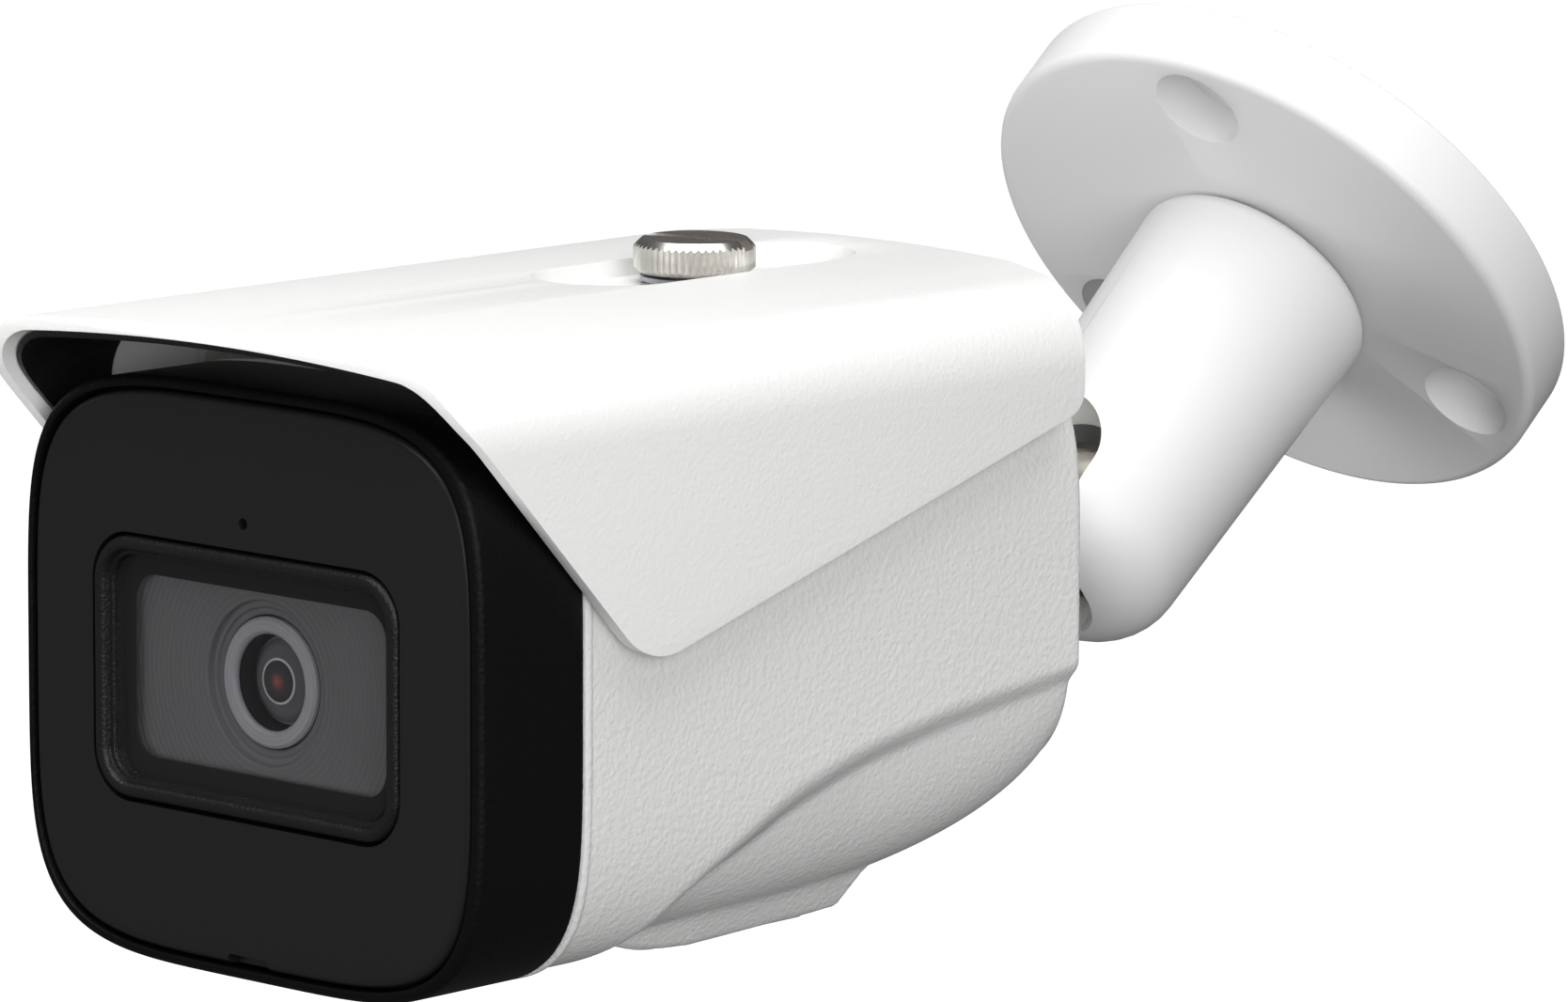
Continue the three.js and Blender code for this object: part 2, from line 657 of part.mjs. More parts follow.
const glassHalfWidth = bezelHalfWidth - bezelBand - gap;
const glassHalfHeight = bezelHalfHeight - bezelBand + 0.3 - gap;
const bezelFront = panelFront - panelCrown - 0.45;
const glassFront = panelFront + 0.5;
function makeBezel() {
  const rear = ledgeBack - 1;
  const outer = roundedPlateY(bezelHalfWidth, bezelHalfHeight, bezelRadius, bezelFront, rear);
  const inner = roundedPlateY(glassHalfWidth + gap, glassHalfHeight + gap, bezelRadius - bezelBand + 0.6,
    bezelFront - 1, rear + 1);
  return build(outer, [], [inner]);
}
place(cameraBody, 'window_bezel', 'black_plastic', makeBezel());
place(cameraBody, 'window_glass', 'clear_glass',
  roundedPlateY(glassHalfWidth, glassHalfHeight, bezelRadius - bezelBand + 0.3,
    glassFront, glassFront + glassThickness));

const maskFront = glassFront + glassThickness + gap;
place(cameraBody, 'window_mask', 'dark_mask', build(
  roundedPlateY(glassHalfWidth, glassHalfHeight, bezelRadius - bezelBand + 0.3,
    maskFront, maskFront + 0.4), [],
  [roundedPlateY(clearHalfWidth, clearHalfHeight, 2.9, maskFront - 1, maskFront + 2)],
));

// ---------------------------------------------------------------- lens
const baffleFront = maskFront + 0.4 + gap;
function makeBaffle() {
  const plate = roundedPlateY(glassHalfWidth - 0.3, glassHalfHeight - 0.3, 2.9,
    baffleFront, baffleFront + 1.2);
  const tube = rod('y', baffleHole + 1, baffleFront + 0.6, baffleFront + 6.5);
  return build(plate, [tube], [rod('y', baffleHole, baffleFront - 1, baffleFront + 9)]);
}
place(cameraBody, 'lens_baffle', 'baffle', makeBaffle());
place(cameraBody, 'lens_ring', 'lens_grey', ring('y', lensRadius, lensOpening, lensFront, lensFront + 0.7));
place(cameraBody, 'lens_barrel', 'black_plastic', turned([
  [lensOpening, lensFront + 0.7 + gap], [lensRadius, lensFront + 0.7 + gap], [lensRadius, lensFront + 4.5],
  [lensThread, lensFront + 5.2], [lensThread, lensFront + lensLength], [3.2, lensFront + lensLength],
  [3.2, lensFront + 5.5], [lensOpening, lensFront + 4.2],
]));
place(cameraBody, 'lens_front_element', 'clear_glass', turned([
  [0, lensFront + 1.2], [2, lensFront + 1.35], [3.4, lensFront + 1.8], [lensOpening - gap, lensFront + 2.7],
  [lensOpening - gap, lensFront + 3.8], [0, lensFront + 3.8],
]));

const filterFront = holderBase + 1.8;
function makeLensHolder() {
  const base = block([-11, 11], [holderBase, sensorBoardFront - gap], [-9, 9]);
  const tube = rod('y', lensThread + 2, holderBase - 5, holderBase + 1);
  const cuts = [
    rod('y', lensThread + gap, holderBase - 7, holderBase + 1.2),
    rod('y', 5.8, holderBase + 0.5, sensorBoardFront + 2),
    block([-12, 12], [filterFront, filterFront + 1.6], [-5.2, 5.2]),
  ];
  return build(base, [tube], cuts);
}
place(cameraBody, 'lens_holder', 'black_plastic', makeLensHolder());
place(cameraBody, 'ir_cut_filter', 'clear_glass',
  block([-4.6, 9.8], [filterFront + 0.35, filterFront + 1.25], [-4.6, 4.6]));
place(cameraBody, 'image_sensor', 'chip',
  block([-4, 4], [sensorBoardFront - gap - 1.3, sensorBoardFront - gap], [-3.4, 3.4]));

// ---------------------------------------------------------------- boards and small electronics
const sensorBoardRear = sensorBoardFront + boardThickness;
place(cameraBody, 'sensor_board', 'board_green',
  block([-19, 19], [sensorBoardFront, sensorBoardRear], [-15, 15]));
place(cameraBody, 'main_board', 'board_green',
  block([-23, 23], [mainBoardFront, mainBoardFront + boardThickness], [-19, 19]));

[[-1, -1], [1, -1], [1, 1], [-1, 1]].forEach(([x, z], i) => {
  place(cameraBody, `board_standoff_${i + 1}`, 'brass',
    rod('y', 2.2, sensorBoardRear + gap, mainBoardFront - gap, [16 * x, 12 * z], 6));
});

function makeLedBoard() {
  const board = squaredSlab(cavityHalfWidth - 3.4, cavityHalfHeight - 3.4, frontPower,
    ledBoardFront, ledBoardFront + boardThickness, 32);
  const cuts = [
    roundedPlateY(bezelHalfWidth - 1, bezelHalfHeight - 1, 4, ledBoardFront - 2, ledBoardFront + 4),
  ];
  for (const [x, z] of coverScrewPlaces) {
    cuts.push(rod('y', 2, ledBoardFront - 2, ledBoardFront + 4, [x, z], screwSides));
  }
  return build(board, [], cuts);
}
place(cameraBody, 'led_board', 'board_green', makeLedBoard());

const ledHeight = (bezelHalfHeight + ledgeHalfHeight) / 2 + 0.3;
[[-1, -1], [1, -1], [1, 1], [-1, 1]].forEach(([x, z], i) => {
  const rear = ledBoardFront - gap;
  const profile = [
    [0, rear - 3.2], [1.5, rear - 2.9], [2.5, rear - 2], [2.9, rear - 0.9], [2.9, rear], [0, rear],
  ];
  const dome = turned(profile, 'y', 14);
  place(cameraBody, `ir_led_${i + 1}`, 'led_lens', dome.translate(14 * x, 0, ledHeight * z));
});
place(cameraBody, 'microphone', 'aluminium',
  rod('y', 2.1, panelBack + gap, ledBoardFront - gap, [0, micHeight + 0.7], 16));

const mainBoardRear = mainBoardFront + boardThickness;
place(cameraBody, 'heat_spreader', 'aluminium', build(
  block([-14, 14], [mainBoardRear + gap, mainBoardRear + 3], [-8, 25]), [
    block([-14, 14], [mainBoardRear + gap, mainBoardRear + 20], [22.5, 25]),
  ],
));
place(cameraBody, 'heat_pad', 'thermal_pad',
  block([-12, 12], [mainBoardRear + 2, mainBoardRear + 18], [25.3, 26.2]));
place(cameraBody, 'cable_header', 'white_plastic', build(
  block([-6, 6], [mainBoardRear + gap, mainBoardRear + 6], [-16, -10]), [],
  [block([-5, 5], [mainBoardRear + 1.5, mainBoardRear + 8], [-15, -11])],
));

// ---------------------------------------------------------------- sunshade
// Half of the shade's arched cross-section, from the middle of the crown to the foot of the flap.
function shadeHalf(inset, foot) {
  const corner = shadeCornerRadius - inset;
  const crownRadius = shadeCrownRadius - inset;
  const cornerX = shadeHalfWidth - shadeCornerRadius;
  const crownCentre = shadeCrown - shadeCrownRadius;
  const spread = shadeCrownRadius - shadeCornerRadius;
  const cornerZ = crownCentre + Math.sqrt(spread ** 2 - cornerX ** 2);
  const turn = Math.asin(cornerX / spread);
  const points = [];
  for (let i = 0; i <= 4; i += 1) {
    const angle = (turn * i) / 4;
    points.push([crownRadius * Math.sin(angle), crownCentre + crownRadius * Math.cos(angle)]);
  }
  for (let i = 1; i <= 6; i += 1) {
    const angle = turn + ((Math.PI / 2 - turn) * i) / 6;
    points.push([cornerX + corner * Math.sin(angle), cornerZ + corner * Math.cos(angle)]);
  }
  points.push([shadeHalfWidth - inset, foot]);
  return points;
}

function archedSheet(insetOut, insetIn, front, rear) {
  const outer = shadeHalf(insetOut, -4);
  const inner = shadeHalf(insetIn, -4);
  const mirrored = (points) => points.slice(1).reverse().map(([x, z]) => [-x, z]);
  const path = [...mirrored(outer), ...outer, ...inner.slice().reverse(), ...mirrored(inner).reverse()];
  const shape = new THREE.Shape(path.map(([x, z]) => new THREE.Vector2(x, z)));
  return plateY(shape, front, rear);
}

// Side view of the shade, Y and Z, drawn back by an inset: the flap comes to a rounded tip.
function flapOutline(inset) {
  const tip = new THREE.Vector2(flapTip[0], flapTip[1] + 1.4 * inset);
  const frontTop = new THREE.Vector2(shadeFront + inset, flapFrontTop);
  const rearBottom = new THREE.Vector2(shadeRear - 5, flapRearBottom + inset);
  const towards = (from, to, distance) => from.clone().add(to.clone().sub(from).setLength(distance));
  const before = towards(tip, frontTop, flapTipRound);
  const after = towards(tip, rearBottom, flapTipRound);
  const low = towards(rearBottom, tip, flapRearRound);
  const shape = new THREE.Shape();
  shape.moveTo(frontTop.x, shadeCrown + 5);
  shape.lineTo(frontTop.x, frontTop.y);
  shape.lineTo(before.x, before.y);
  shape.quadraticCurveTo(tip.x, tip.y, after.x, after.y);
  shape.lineTo(low.x, low.y);
  shape.quadraticCurveTo(rearBottom.x, rearBottom.y, rearBottom.x + 0.6, rearBottom.y + flapRearRound);
  shape.lineTo(shadeRear + 5, rearBottom.y + flapRearRound);
  shape.lineTo(shadeRear + 5, shadeCrown + 5);
  return shape;
}

function planOutline() {
  const shape = new THREE.Shape();
  const wide = shadeHalfWidth + 1;
  shape.moveTo(-wide, shadeFront);
  shape.lineTo(wide, shadeFront);
  shape.lineTo(wide, shadeRear - shadeCornerCut);
  shape.lineTo(shadeRearHalf, shadeRear);
  shape.lineTo(-shadeRearHalf, shadeRear);
  shape.lineTo(-wide, shadeRear - shadeCornerCut);
  return shape;
}

function stadium(halfWidth, halfLength) {
  const shape = new THREE.Shape();
  const straight = halfLength - halfWidth;
  shape.absarc(0, screwY + straight, halfWidth, 0, Math.PI);
  shape.absarc(0, screwY - straight, halfWidth, Math.PI, 2 * Math.PI);
  return shape;
}

function makeSunshade() {
  const sheet = archedSheet(0, shadeSheet, shadeFront - 1, shadeRear + 1);
  const trimmed = common(sheet, plateX(flapOutline(0), shadeHalfWidth + 3));
  const planned = common(trimmed, plateZ(planOutline(), -10, shadeCrown + 3));
  const trayOutline = stadium(channelHalfWidth + shadeSheet, channelHalfLength + shadeSheet);
  const tray = plateZ(trayOutline, floorUnder, shadeCrown - 0.9);
  return build(planned, [tray], [
    plateZ(stadium(channelHalfWidth, channelHalfLength), floorTop, shadeCrown + 3),
    plateZ(stadium(screwRadius + 0.6, screwRadius + 0.6 + shadeTravel), floorUnder - 1, floorTop + 1),
  ]);
}
place(cameraBody, 'sunshade', 'white_paint', makeSunshade());

function makeLiner() {
  const depth = shadeSheet + gap;
  const sheet = archedSheet(depth, depth + linerThickness, shadeFront + 0.9, linerRear);
  const trimmed = common(sheet, plateX(flapOutline(1.6), shadeHalfWidth));
  const nearCover = block([-shadeHalfWidth, shadeHalfWidth], [panelFront - 1, linerRear + 1],
    [-5, linerFoot]);
  return build(trimmed, [], [nearCover]);
}
place(cameraBody, 'glare_liner', 'black_plastic', makeLiner());

function makeRib() {
  const depth = shadeSheet + gap;
  const sheet = archedSheet(depth, depth + 1, ribFront, ribFront + ribWidth);
  return common(sheet, block([-shadeHalfWidth, shadeHalfWidth], [ribFront - 1, ribFront + ribWidth + 1],
    [24, shadeCrown + 3]));
}
place(cameraBody, 'shade_rib', 'white_plastic', makeRib());

function makeShadeScrew() {
  const outline = [];
  for (let i = 0; i < headTeeth * 2; i += 1) {
    const angle = (Math.PI * i) / headTeeth;
    const radius = i % 2 === 0 ? headRadius : headRadius - 0.35;
    outline.push(new THREE.Vector2(radius * Math.cos(angle), radius * Math.sin(angle)));
  }
  const knurl = plateZ(new THREE.Shape(outline), headBottom, headTop).translate(0, screwY, 0);
  const chamfered = turned([
    [0, headBottom], [headRadius - 0.9, headBottom], [headRadius, headBottom + 0.8],
    [headRadius, headTop - 1.1], [headRadius - 1.3, headTop], [0, headTop],
  ], 'z', 32).translate(0, screwY, 0);
  const shank = rod('z', screwRadius, housingHalfHeight - 6, headBottom + 1, [0, screwY], 20);
  const slot = block([-8, 8], [screwY - 0.7, screwY + 0.7], [headTop - 1.2, headTop + 1]);
  return build(common(knurl, chamfered), [shank], [slot]);
}
place(cameraBody, 'shade_screw', 'nickel', makeShadeScrew());
place(cameraBody, 'shade_washer', 'steel',
  ring('z', headRadius - 0.7, screwRadius + gap, floorTop + gap,
    floorTop + gap + washerHeight, [0, screwY]));

export default camera;
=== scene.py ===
import json
import math

import bpy
import numpy as np
from mathutils import Matrix, Quaternion, Vector


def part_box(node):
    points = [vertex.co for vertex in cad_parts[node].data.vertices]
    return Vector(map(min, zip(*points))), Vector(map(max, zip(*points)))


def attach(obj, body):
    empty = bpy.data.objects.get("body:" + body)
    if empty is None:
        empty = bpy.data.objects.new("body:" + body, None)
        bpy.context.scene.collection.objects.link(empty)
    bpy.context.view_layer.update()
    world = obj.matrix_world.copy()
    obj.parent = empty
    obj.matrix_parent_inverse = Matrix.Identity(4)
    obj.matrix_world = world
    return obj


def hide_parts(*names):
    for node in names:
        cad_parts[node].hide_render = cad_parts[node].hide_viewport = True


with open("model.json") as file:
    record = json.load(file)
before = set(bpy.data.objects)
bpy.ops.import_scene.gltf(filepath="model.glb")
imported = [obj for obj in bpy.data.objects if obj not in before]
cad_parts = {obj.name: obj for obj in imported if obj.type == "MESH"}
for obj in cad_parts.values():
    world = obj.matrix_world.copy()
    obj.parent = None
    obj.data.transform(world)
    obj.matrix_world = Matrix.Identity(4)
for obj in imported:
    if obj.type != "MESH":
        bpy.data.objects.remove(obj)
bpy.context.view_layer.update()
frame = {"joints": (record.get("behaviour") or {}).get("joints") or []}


# Viewpoint. A long lens stands level with the front corner of the camera body, a little above it,
# so that the face, the left flank and the wall bracket all show.
view_azimuth, view_elevation, view_roll = (math.radians(a) for a in (42.594, 9.077, 0.268))
view_back = Vector((math.sin(view_azimuth) * math.cos(view_elevation),
                    -math.cos(view_azimuth) * math.cos(view_elevation),
                    math.sin(view_elevation)))
bpy.ops.object.select_all(action="DESELECT")
bpy.ops.object.camera_add(location=Vector((0.6151, -0.7556, 0.1229)))
viewer = bpy.context.object
viewer.rotation_mode = "QUATERNION"
viewer.rotation_quaternion = (-view_back).to_track_quat("-Z", "Y") @ Quaternion((0, 0, 1), view_roll)
viewer.data.sensor_width = 36
viewer.data.lens = 196.47
viewer.data.clip_start = 0.05
viewer.data.clip_end = 60
bpy.context.scene.camera = viewer


# Floor. A wide sheet of white paper well below the bracket: matt, evenly lit and almost without shadow.
def linear(code):
    """A hex sRGB colour as linear red, green, blue and alpha."""
    shares = [int(code[i:i + 2], 16) / 255 for i in (1, 3, 5)]
    return (*[s / 12.92 if s <= 0.04045 else ((s + 0.055) / 1.055) ** 2.4 for s in shares], 1)


def add_node(material, kind, inputs, **settings):
    """One node with its settings; an input is given a value, or a socket to be linked from."""
    made = material.node_tree.nodes.new(kind)
    for name, value in settings.items():
        setattr(made, name, value)
    for name, value in inputs.items():
        if isinstance(value, bpy.types.NodeSocket):
            material.node_tree.links.new(value, made.inputs[name])
        else:
            made.inputs[name].default_value = value
    return made


def surface_of(name, **values):
    """A material and its surface shader, with the values that are the same all over."""
    material = bpy.data.materials.new(name)
    material.use_nodes = True
    shader = material.node_tree.nodes["Principled BSDF"]
    for key, value in values.items():
        shader.inputs[key.replace("_", " ")].default_value = value
    return material, shader


def bumped(material, shader, height, strength, distance):
    """Raises the surface by a height that varies from place to place."""
    bump = add_node(material, "ShaderNodeBump", {"Height": height, "Strength": strength,
                                                 "Distance": distance})
    material.node_tree.links.new(bump.outputs["Normal"], shader.inputs["Normal"])


floor_height = -0.55
bpy.ops.mesh.primitive_plane_add(size=30, location=(0, 0, floor_height))
floor = bpy.context.object
floor.name = "paper_floor"
paper, paper_shader = surface_of("white_paper", Base_Color=linear("#F7F7F7"), Roughness=0.9,
                                 Emission_Color=linear("#FFFFFF"), Emission_Strength=0.95)
paper_shader.inputs["Specular IOR Level"].default_value = 0.1
floor.data.materials.append(paper)
floor.visible_diffuse = floor.visible_glossy = False


# Light. Four soft boxes in a dim white room: a broad one overhead, one in front and to the right of the
# lens, one high on the left flank, and a lower one level with the body at its left front.
def soft_box(name, place, aim, size, watts, mirrored=True):
    """A rectangular lamp; one that isn't mirrored leaves no bright patch in glass and gloss."""
    bpy.ops.object.select_all(action="DESELECT")
    bpy.ops.object.light_add(type="AREA", location=place)
    lamp = bpy.context.object
    lamp.name = name
    lamp.data.shape = "RECTANGLE"
    lamp.data.size, lamp.data.size_y = size
    lamp.data.energy = watts
    lamp.visible_glossy = mirrored
    lamp.rotation_euler = (Vector(aim) - Vector(place)).to_track_quat("-Z", "Y").to_euler()


body_middle = (0, -0.11, -0.03)
soft_box("soft_box_above", (0.1, -0.35, 1.5), body_middle, (1.8, 1.8), 30)
soft_box("soft_box_front", (-0.9, -1.6, -0.2), body_middle, (1.6, 1.2), 27, mirrored=False)
soft_box("soft_box_flank", (1.8, -0.8, 0.65), body_middle, (1.0, 1.2), 14)
soft_box("soft_box_low", (1.4, -1.35, 0.1), body_middle, (1.2, 1.0), 18, mirrored=False)
room = bpy.data.worlds.new("white_room")
bpy.context.scene.world = room
room.use_nodes = True
room.node_tree.nodes["Background"].inputs["Color"].default_value = linear("#FFFFFF")
room.node_tree.nodes["Background"].inputs["Strength"].default_value = 0.09
bpy.context.scene.view_settings.view_transform = "Standard"


# Wall plate. Die-cast aluminium, 8.4 mm thick, under smooth satin powder coat; three counterbored
# fixing holes, and a bore in the middle that the arm turns in.
joints = {j["name"]: j for j in frame["joints"]}
swivel_axis = Vector(joints["arm_swivel"]["axis"])
arm_tilt = math.atan2(-swivel_axis.z, -swivel_axis.y)
bracket_place = Matrix.Rotation(math.pi / 2 + arm_tilt, 4, "X")


def use(piece):
    bpy.ops.object.select_all(action="DESELECT")
    piece.select_set(True)
    bpy.context.view_layer.objects.active = piece


def modify(piece, kind, **settings):
    use(piece)
    modifier = piece.modifiers.new(kind.title(), kind)
    for name, value in settings.items():
        setattr(modifier, name, value)
    bpy.ops.object.modifier_apply(modifier=modifier.name)


def close_up(piece):
    """Merges what meets, drops what is loose, and points the faces outwards."""
    use(piece)
    bpy.ops.object.mode_set(mode="EDIT")
    bpy.ops.mesh.select_all(action="SELECT")
    bpy.ops.mesh.remove_doubles(threshold=2e-6)
    bpy.ops.mesh.delete_loose(use_verts=True, use_edges=True, use_faces=False)
    bpy.ops.mesh.select_all(action="SELECT")
    bpy.ops.mesh.normals_make_consistent(inside=False)
    bpy.ops.object.mode_set(mode="OBJECT")


def softened(corners, steps=5):
    """A closed outline of (a, b, radius) corners, with an arc at each corner that has a radius."""
    spots = [np.array(c[:2], float) for c in corners]
    outline = []
    for i, here in enumerate(spots):
        radius = corners[i][2]
        if radius == 0:
            outline.append(here)
            continue
        back, on = spots[i - 1] - here, spots[(i + 1) % len(spots)] - here
        back, on = back / np.linalg.norm(back), on / np.linalg.norm(on)
        half = math.acos(max(-1, min(1, float(back @ on)))) / 2
        middle = here + (back + on) / np.linalg.norm(back + on) * radius / math.sin(half)
        first = here + back * radius / math.tan(half) - middle
        last = here + on * radius / math.tan(half) - middle
        swing = math.pi - 2 * half
        for k in range(steps + 1):
            a = k / steps
            arm = (math.sin((1 - a) * swing) * first + math.sin(a * swing) * last) / math.sin(swing)
            outline.append(middle + arm)
    return outline


def placed(axis, a, b, along):
    """The point at (a, b) across an axis, in millimetres."""
    point = {"x": (along, a, b), "y": (a, along, b), "z": (a, b, along)}[axis]
    return tuple(value / 1000 for value in point)


def looped(name, outline, axis, along, fill):
    """A circle whose points are moved onto an outline drawn across an axis."""
    bpy.ops.object.select_all(action="DESELECT")
    bpy.ops.mesh.primitive_circle_add(vertices=len(outline), radius=0.01, fill_type=fill)
    piece = bpy.context.object
    piece.name = piece.data.name = name
    for vertex, (a, b) in zip(piece.data.vertices, outline):
        vertex.co = placed(axis, a, b, along)
    return piece


def turned(name, corners, axis="z", steps=96, arc=5):
    """A closed profile of (radius, height, corner radius) corners, spun about an axis."""
    profile = softened(corners, arc)
    piece = looped(name, profile, "y", 0, "NOTHING")
    for vertex, (radius, height) in zip(piece.data.vertices, profile):
        vertex.co = {"x": (height, radius, 0), "y": (radius, height, 0), "z": (radius, 0, height)}[axis]
        vertex.co = vertex.co / 1000
    use(piece)
    bpy.ops.object.mode_set(mode="EDIT")
    bpy.ops.mesh.select_all(action="SELECT")
    direction = {"x": (1, 0, 0), "y": (0, 1, 0), "z": (0, 0, 1)}[axis]
    bpy.ops.mesh.spin(steps=steps, angle=2 * math.pi, center=(0, 0, 0), axis=direction)
    bpy.ops.object.mode_set(mode="OBJECT")
    close_up(piece)
    return piece


def prism(name, outline, axis, low, high):
    """An outline drawn across an axis, filled and extruded along it."""
    piece = looped(name, outline, axis, low, "NGON")
    use(piece)
    bpy.ops.object.mode_set(mode="EDIT")
    bpy.ops.mesh.select_all(action="SELECT")
    travel = tuple((high - low) / 1000 if axis == letter else 0 for letter in "xyz")
    bpy.ops.mesh.extrude_region_move(TRANSFORM_OT_translate={"value": travel})
    bpy.ops.object.mode_set(mode="OBJECT")
    close_up(piece)
    return piece


def disc(radius, centre=(0, 0), count=64):
    turns = [2 * math.pi * i / count for i in range(count)]
    return [(centre[0] + radius * math.cos(t), centre[1] + radius * math.sin(t)) for t in turns]


def rod(radius, axis, low, high, centre=(0, 0), count=64):
    return prism("rod", disc(radius, centre, count), axis, low, high)


def oblong(across, along, low, high, soft=0.0, axis="z"):
    """A block given by its two pairs of limits across an axis and its limits along it."""
    corners = [(across[0], along[0], soft), (across[1], along[0], soft),
               (across[1], along[1], soft), (across[0], along[1], soft)]
    return prism("block", softened(corners), axis, low, high)


def combine(piece, tool, operation="DIFFERENCE"):
    """Cuts, joins or trims with another solid, which is used up."""
    modify(piece, "BOOLEAN", object=tool, operation=operation, solver="EXACT")
    bpy.data.objects.remove(tool)


def soften_edges(piece, width, segments=3, angle=35):
    modify(piece, "BEVEL", width=width / 1000, segments=segments, limit_method="ANGLE",
           angle_limit=math.radians(angle), use_clamp_overlap=True, miter_outer="MITER_ARC")


def seat(piece, place, body, slot, material, *nodes, angle=32):
    """Puts a finished piece in its place, on its body, in its finish, for the nodes it stands for."""
    piece.matrix_world = place @ piece.matrix_world
    use(piece)
    bpy.ops.object.transform_apply(location=True, rotation=True, scale=True)
    bpy.ops.object.shade_smooth_by_angle(angle=math.radians(angle))
    piece.data.materials.clear()
    piece.data.materials.append(material)
    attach(piece, body)
    if nodes:
        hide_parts(*nodes)


def bracket_paint():
    """Smooth satin powder coat: a faint orange peel about 1 mm across that only softens the highlights."""
    material, shader = surface_of("satin_powder_coat", Base_Color=linear("#E4E4E4"), Roughness=0.42)
    shader.inputs["Specular IOR Level"].default_value = 0.45
    place = add_node(material, "ShaderNodeTexCoord", {}).outputs["Object"]
    peel = add_node(material, "ShaderNodeTexNoise", {"Vector": place, "Scale": 1 / 0.0011, "Detail": 2.0})
    fine = add_node(material, "ShaderNodeTexNoise", {"Vector": place, "Scale": 1 / 0.00035, "Detail": 1.0})
    both = add_node(material, "ShaderNodeMath", {0: peel.outputs["Fac"], 1: fine.outputs["Fac"]})
    bumped(material, shader, both.outputs[0], 0.10, 0.00012)
    return material


plate_radius, plate_thick, plate_bore = 35.0, 8.4, 11.8
hole_circle, hole_radius, sink_radius, sink_depth = 27.5, 2.4, 5.3, 5.4
recess_radius, recess_depth = 16, 4.2
satin_white = bracket_paint()
wall_plate = turned("wall_plate_casting", [
    (plate_bore, 0, 0.3), (plate_radius, 0, 0.5), (plate_radius, plate_thick, 1.3),
    (plate_bore, plate_thick, 0.6)], steps=160)
for turn in (-80, 40, 160):
    hole = (hole_circle * math.cos(math.radians(turn)), -hole_circle * math.sin(math.radians(turn)))
    combine(wall_plate, rod(sink_radius, "z", plate_thick - sink_depth, plate_thick + 1, hole))
    combine(wall_plate, rod(hole_radius, "z", -1, plate_thick, hole, 40))
combine(wall_plate, rod(recess_radius, "z", -1, recess_depth, count=96))
soften_edges(wall_plate, 0.45, angle=50)
seat(wall_plate, bracket_place, "wall_plate", "white_bracket", satin_white, "wall_plate")


# Arm. A tapered aluminium casting in the same satin coat. Its end is a smooth dome, slotted from the
# side round to the tip so that the neck can swing a quarter turn, and hollow for the cable.
stub_radius, stub_top, arm_length, arm_hollow, hollow_depth = 11.5, 8.8, 58.5, 9.4, 35.5
pivot_height, slot_half, screw_hole, screw_sink = 46.7, 7.0, 3.3, 5.1
arm = turned("arm_casting", [
    (arm_hollow, 0.5, 0), (stub_radius, 0.5, 0.4), (stub_radius, stub_top, 0), (14.5, stub_top, 2.0),
    (12.9, arm_length, 8.6), (0, arm_length, 0), (0, hollow_depth, 0), (arm_hollow, hollow_depth, 0)],
    steps=128, arc=10)
combine(arm, oblong((-slot_half, slot_half), (-8.2, 8.2), hollow_depth - 1, pivot_height))
combine(arm, rod(9.2, "x", -slot_half, slot_half, (0, pivot_height), 96))
swing = [(0, pivot_height + 30), (0, pivot_height), (30, pivot_height + 0.5), (30, pivot_height + 30)]
combine(arm, prism("swing", swing, "x", -slot_half, slot_half))
combine(arm, rod(slot_half, "y", 0, 30, (0, pivot_height + 0.5), 96))
combine(arm, rod(slot_half, "z", pivot_height, pivot_height + 30, count=96))
combine(arm, rod(screw_hole, "x", -11.5, 11.1, (0, pivot_height), 40))
combine(arm, rod(screw_sink, "x", -30, -10.7, (0, pivot_height), 48))
soften_edges(arm, 1.5, segments=5, angle=48)
seat(arm, bracket_place, "arm", "white_bracket", satin_white, "arm")


# Knuckle. One piece of nickel-plated zinc: a barrel that the tilt screw passes through, a hollow neck,
# and a flange that clamps the seal against the back of the housing.
def plated(name, colour, roughness):
    """Satin nickel plate: bright, slightly warm, with faint turning marks about 0.15 mm apart."""
    material, shader = surface_of(name, Base_Color=linear(colour), Metallic=1.0, Roughness=roughness)
    place = add_node(material, "ShaderNodeTexCoord", {}).outputs["Object"]
    cloud = add_node(material, "ShaderNodeTexNoise", {"Vector": place, "Scale": 1 / 0.002, "Detail": 3.0})
    spread = add_node(material, "ShaderNodeMapRange", {
        "Value": cloud.outputs["Fac"], "To Min": roughness * 0.75, "To Max": roughness * 1.3})
    material.node_tree.links.new(spread.outputs["Result"], shader.inputs["Roughness"])
    marks = add_node(material, "ShaderNodeTexNoise", {"Vector": place, "Scale": 1 / 0.00015})
    bumped(material, shader, marks.outputs["Fac"], 0.05, 0.00005)
    return material


cover_low, cover_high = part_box("front_cover")
face_place = Matrix.Translation((0, cover_low.y + 0.0009, (cover_low.z + cover_high.z) / 2))
reach, roll_lift = 129.8, 2.3
barrel_radius, barrel_half, passage = 8.2, 6.7, 3.4
neck_radius, flange_radius, flange_back, flange_face, neck_end = 6.2, 13, 33.6, 37.0, 46.4
satin_nickel = plated("satin_nickel", "#D6D2C8", 0.27)
knuckle = turned("knuckle_casting", [
    (0, -barrel_half, 0), (barrel_radius, -barrel_half, 1.6), (barrel_radius, barrel_half, 1.6),
    (0, barrel_half, 0)], axis="x")
neck = turned("neck", [
    (0, 0, 0), (neck_radius, 0, 0), (neck_radius, flange_back, 0), (flange_radius, flange_back, 1.0),
    (flange_radius, flange_face, 0.4), (8, flange_face, 0), (8, neck_end, 0.5), (0, neck_end, 0)])
neck.matrix_world = Matrix.Rotation(math.pi / 2, 4, "X")
combine(knuckle, neck, "UNION")
combine(knuckle, rod(passage, "y", -50, -11.2, count=40))
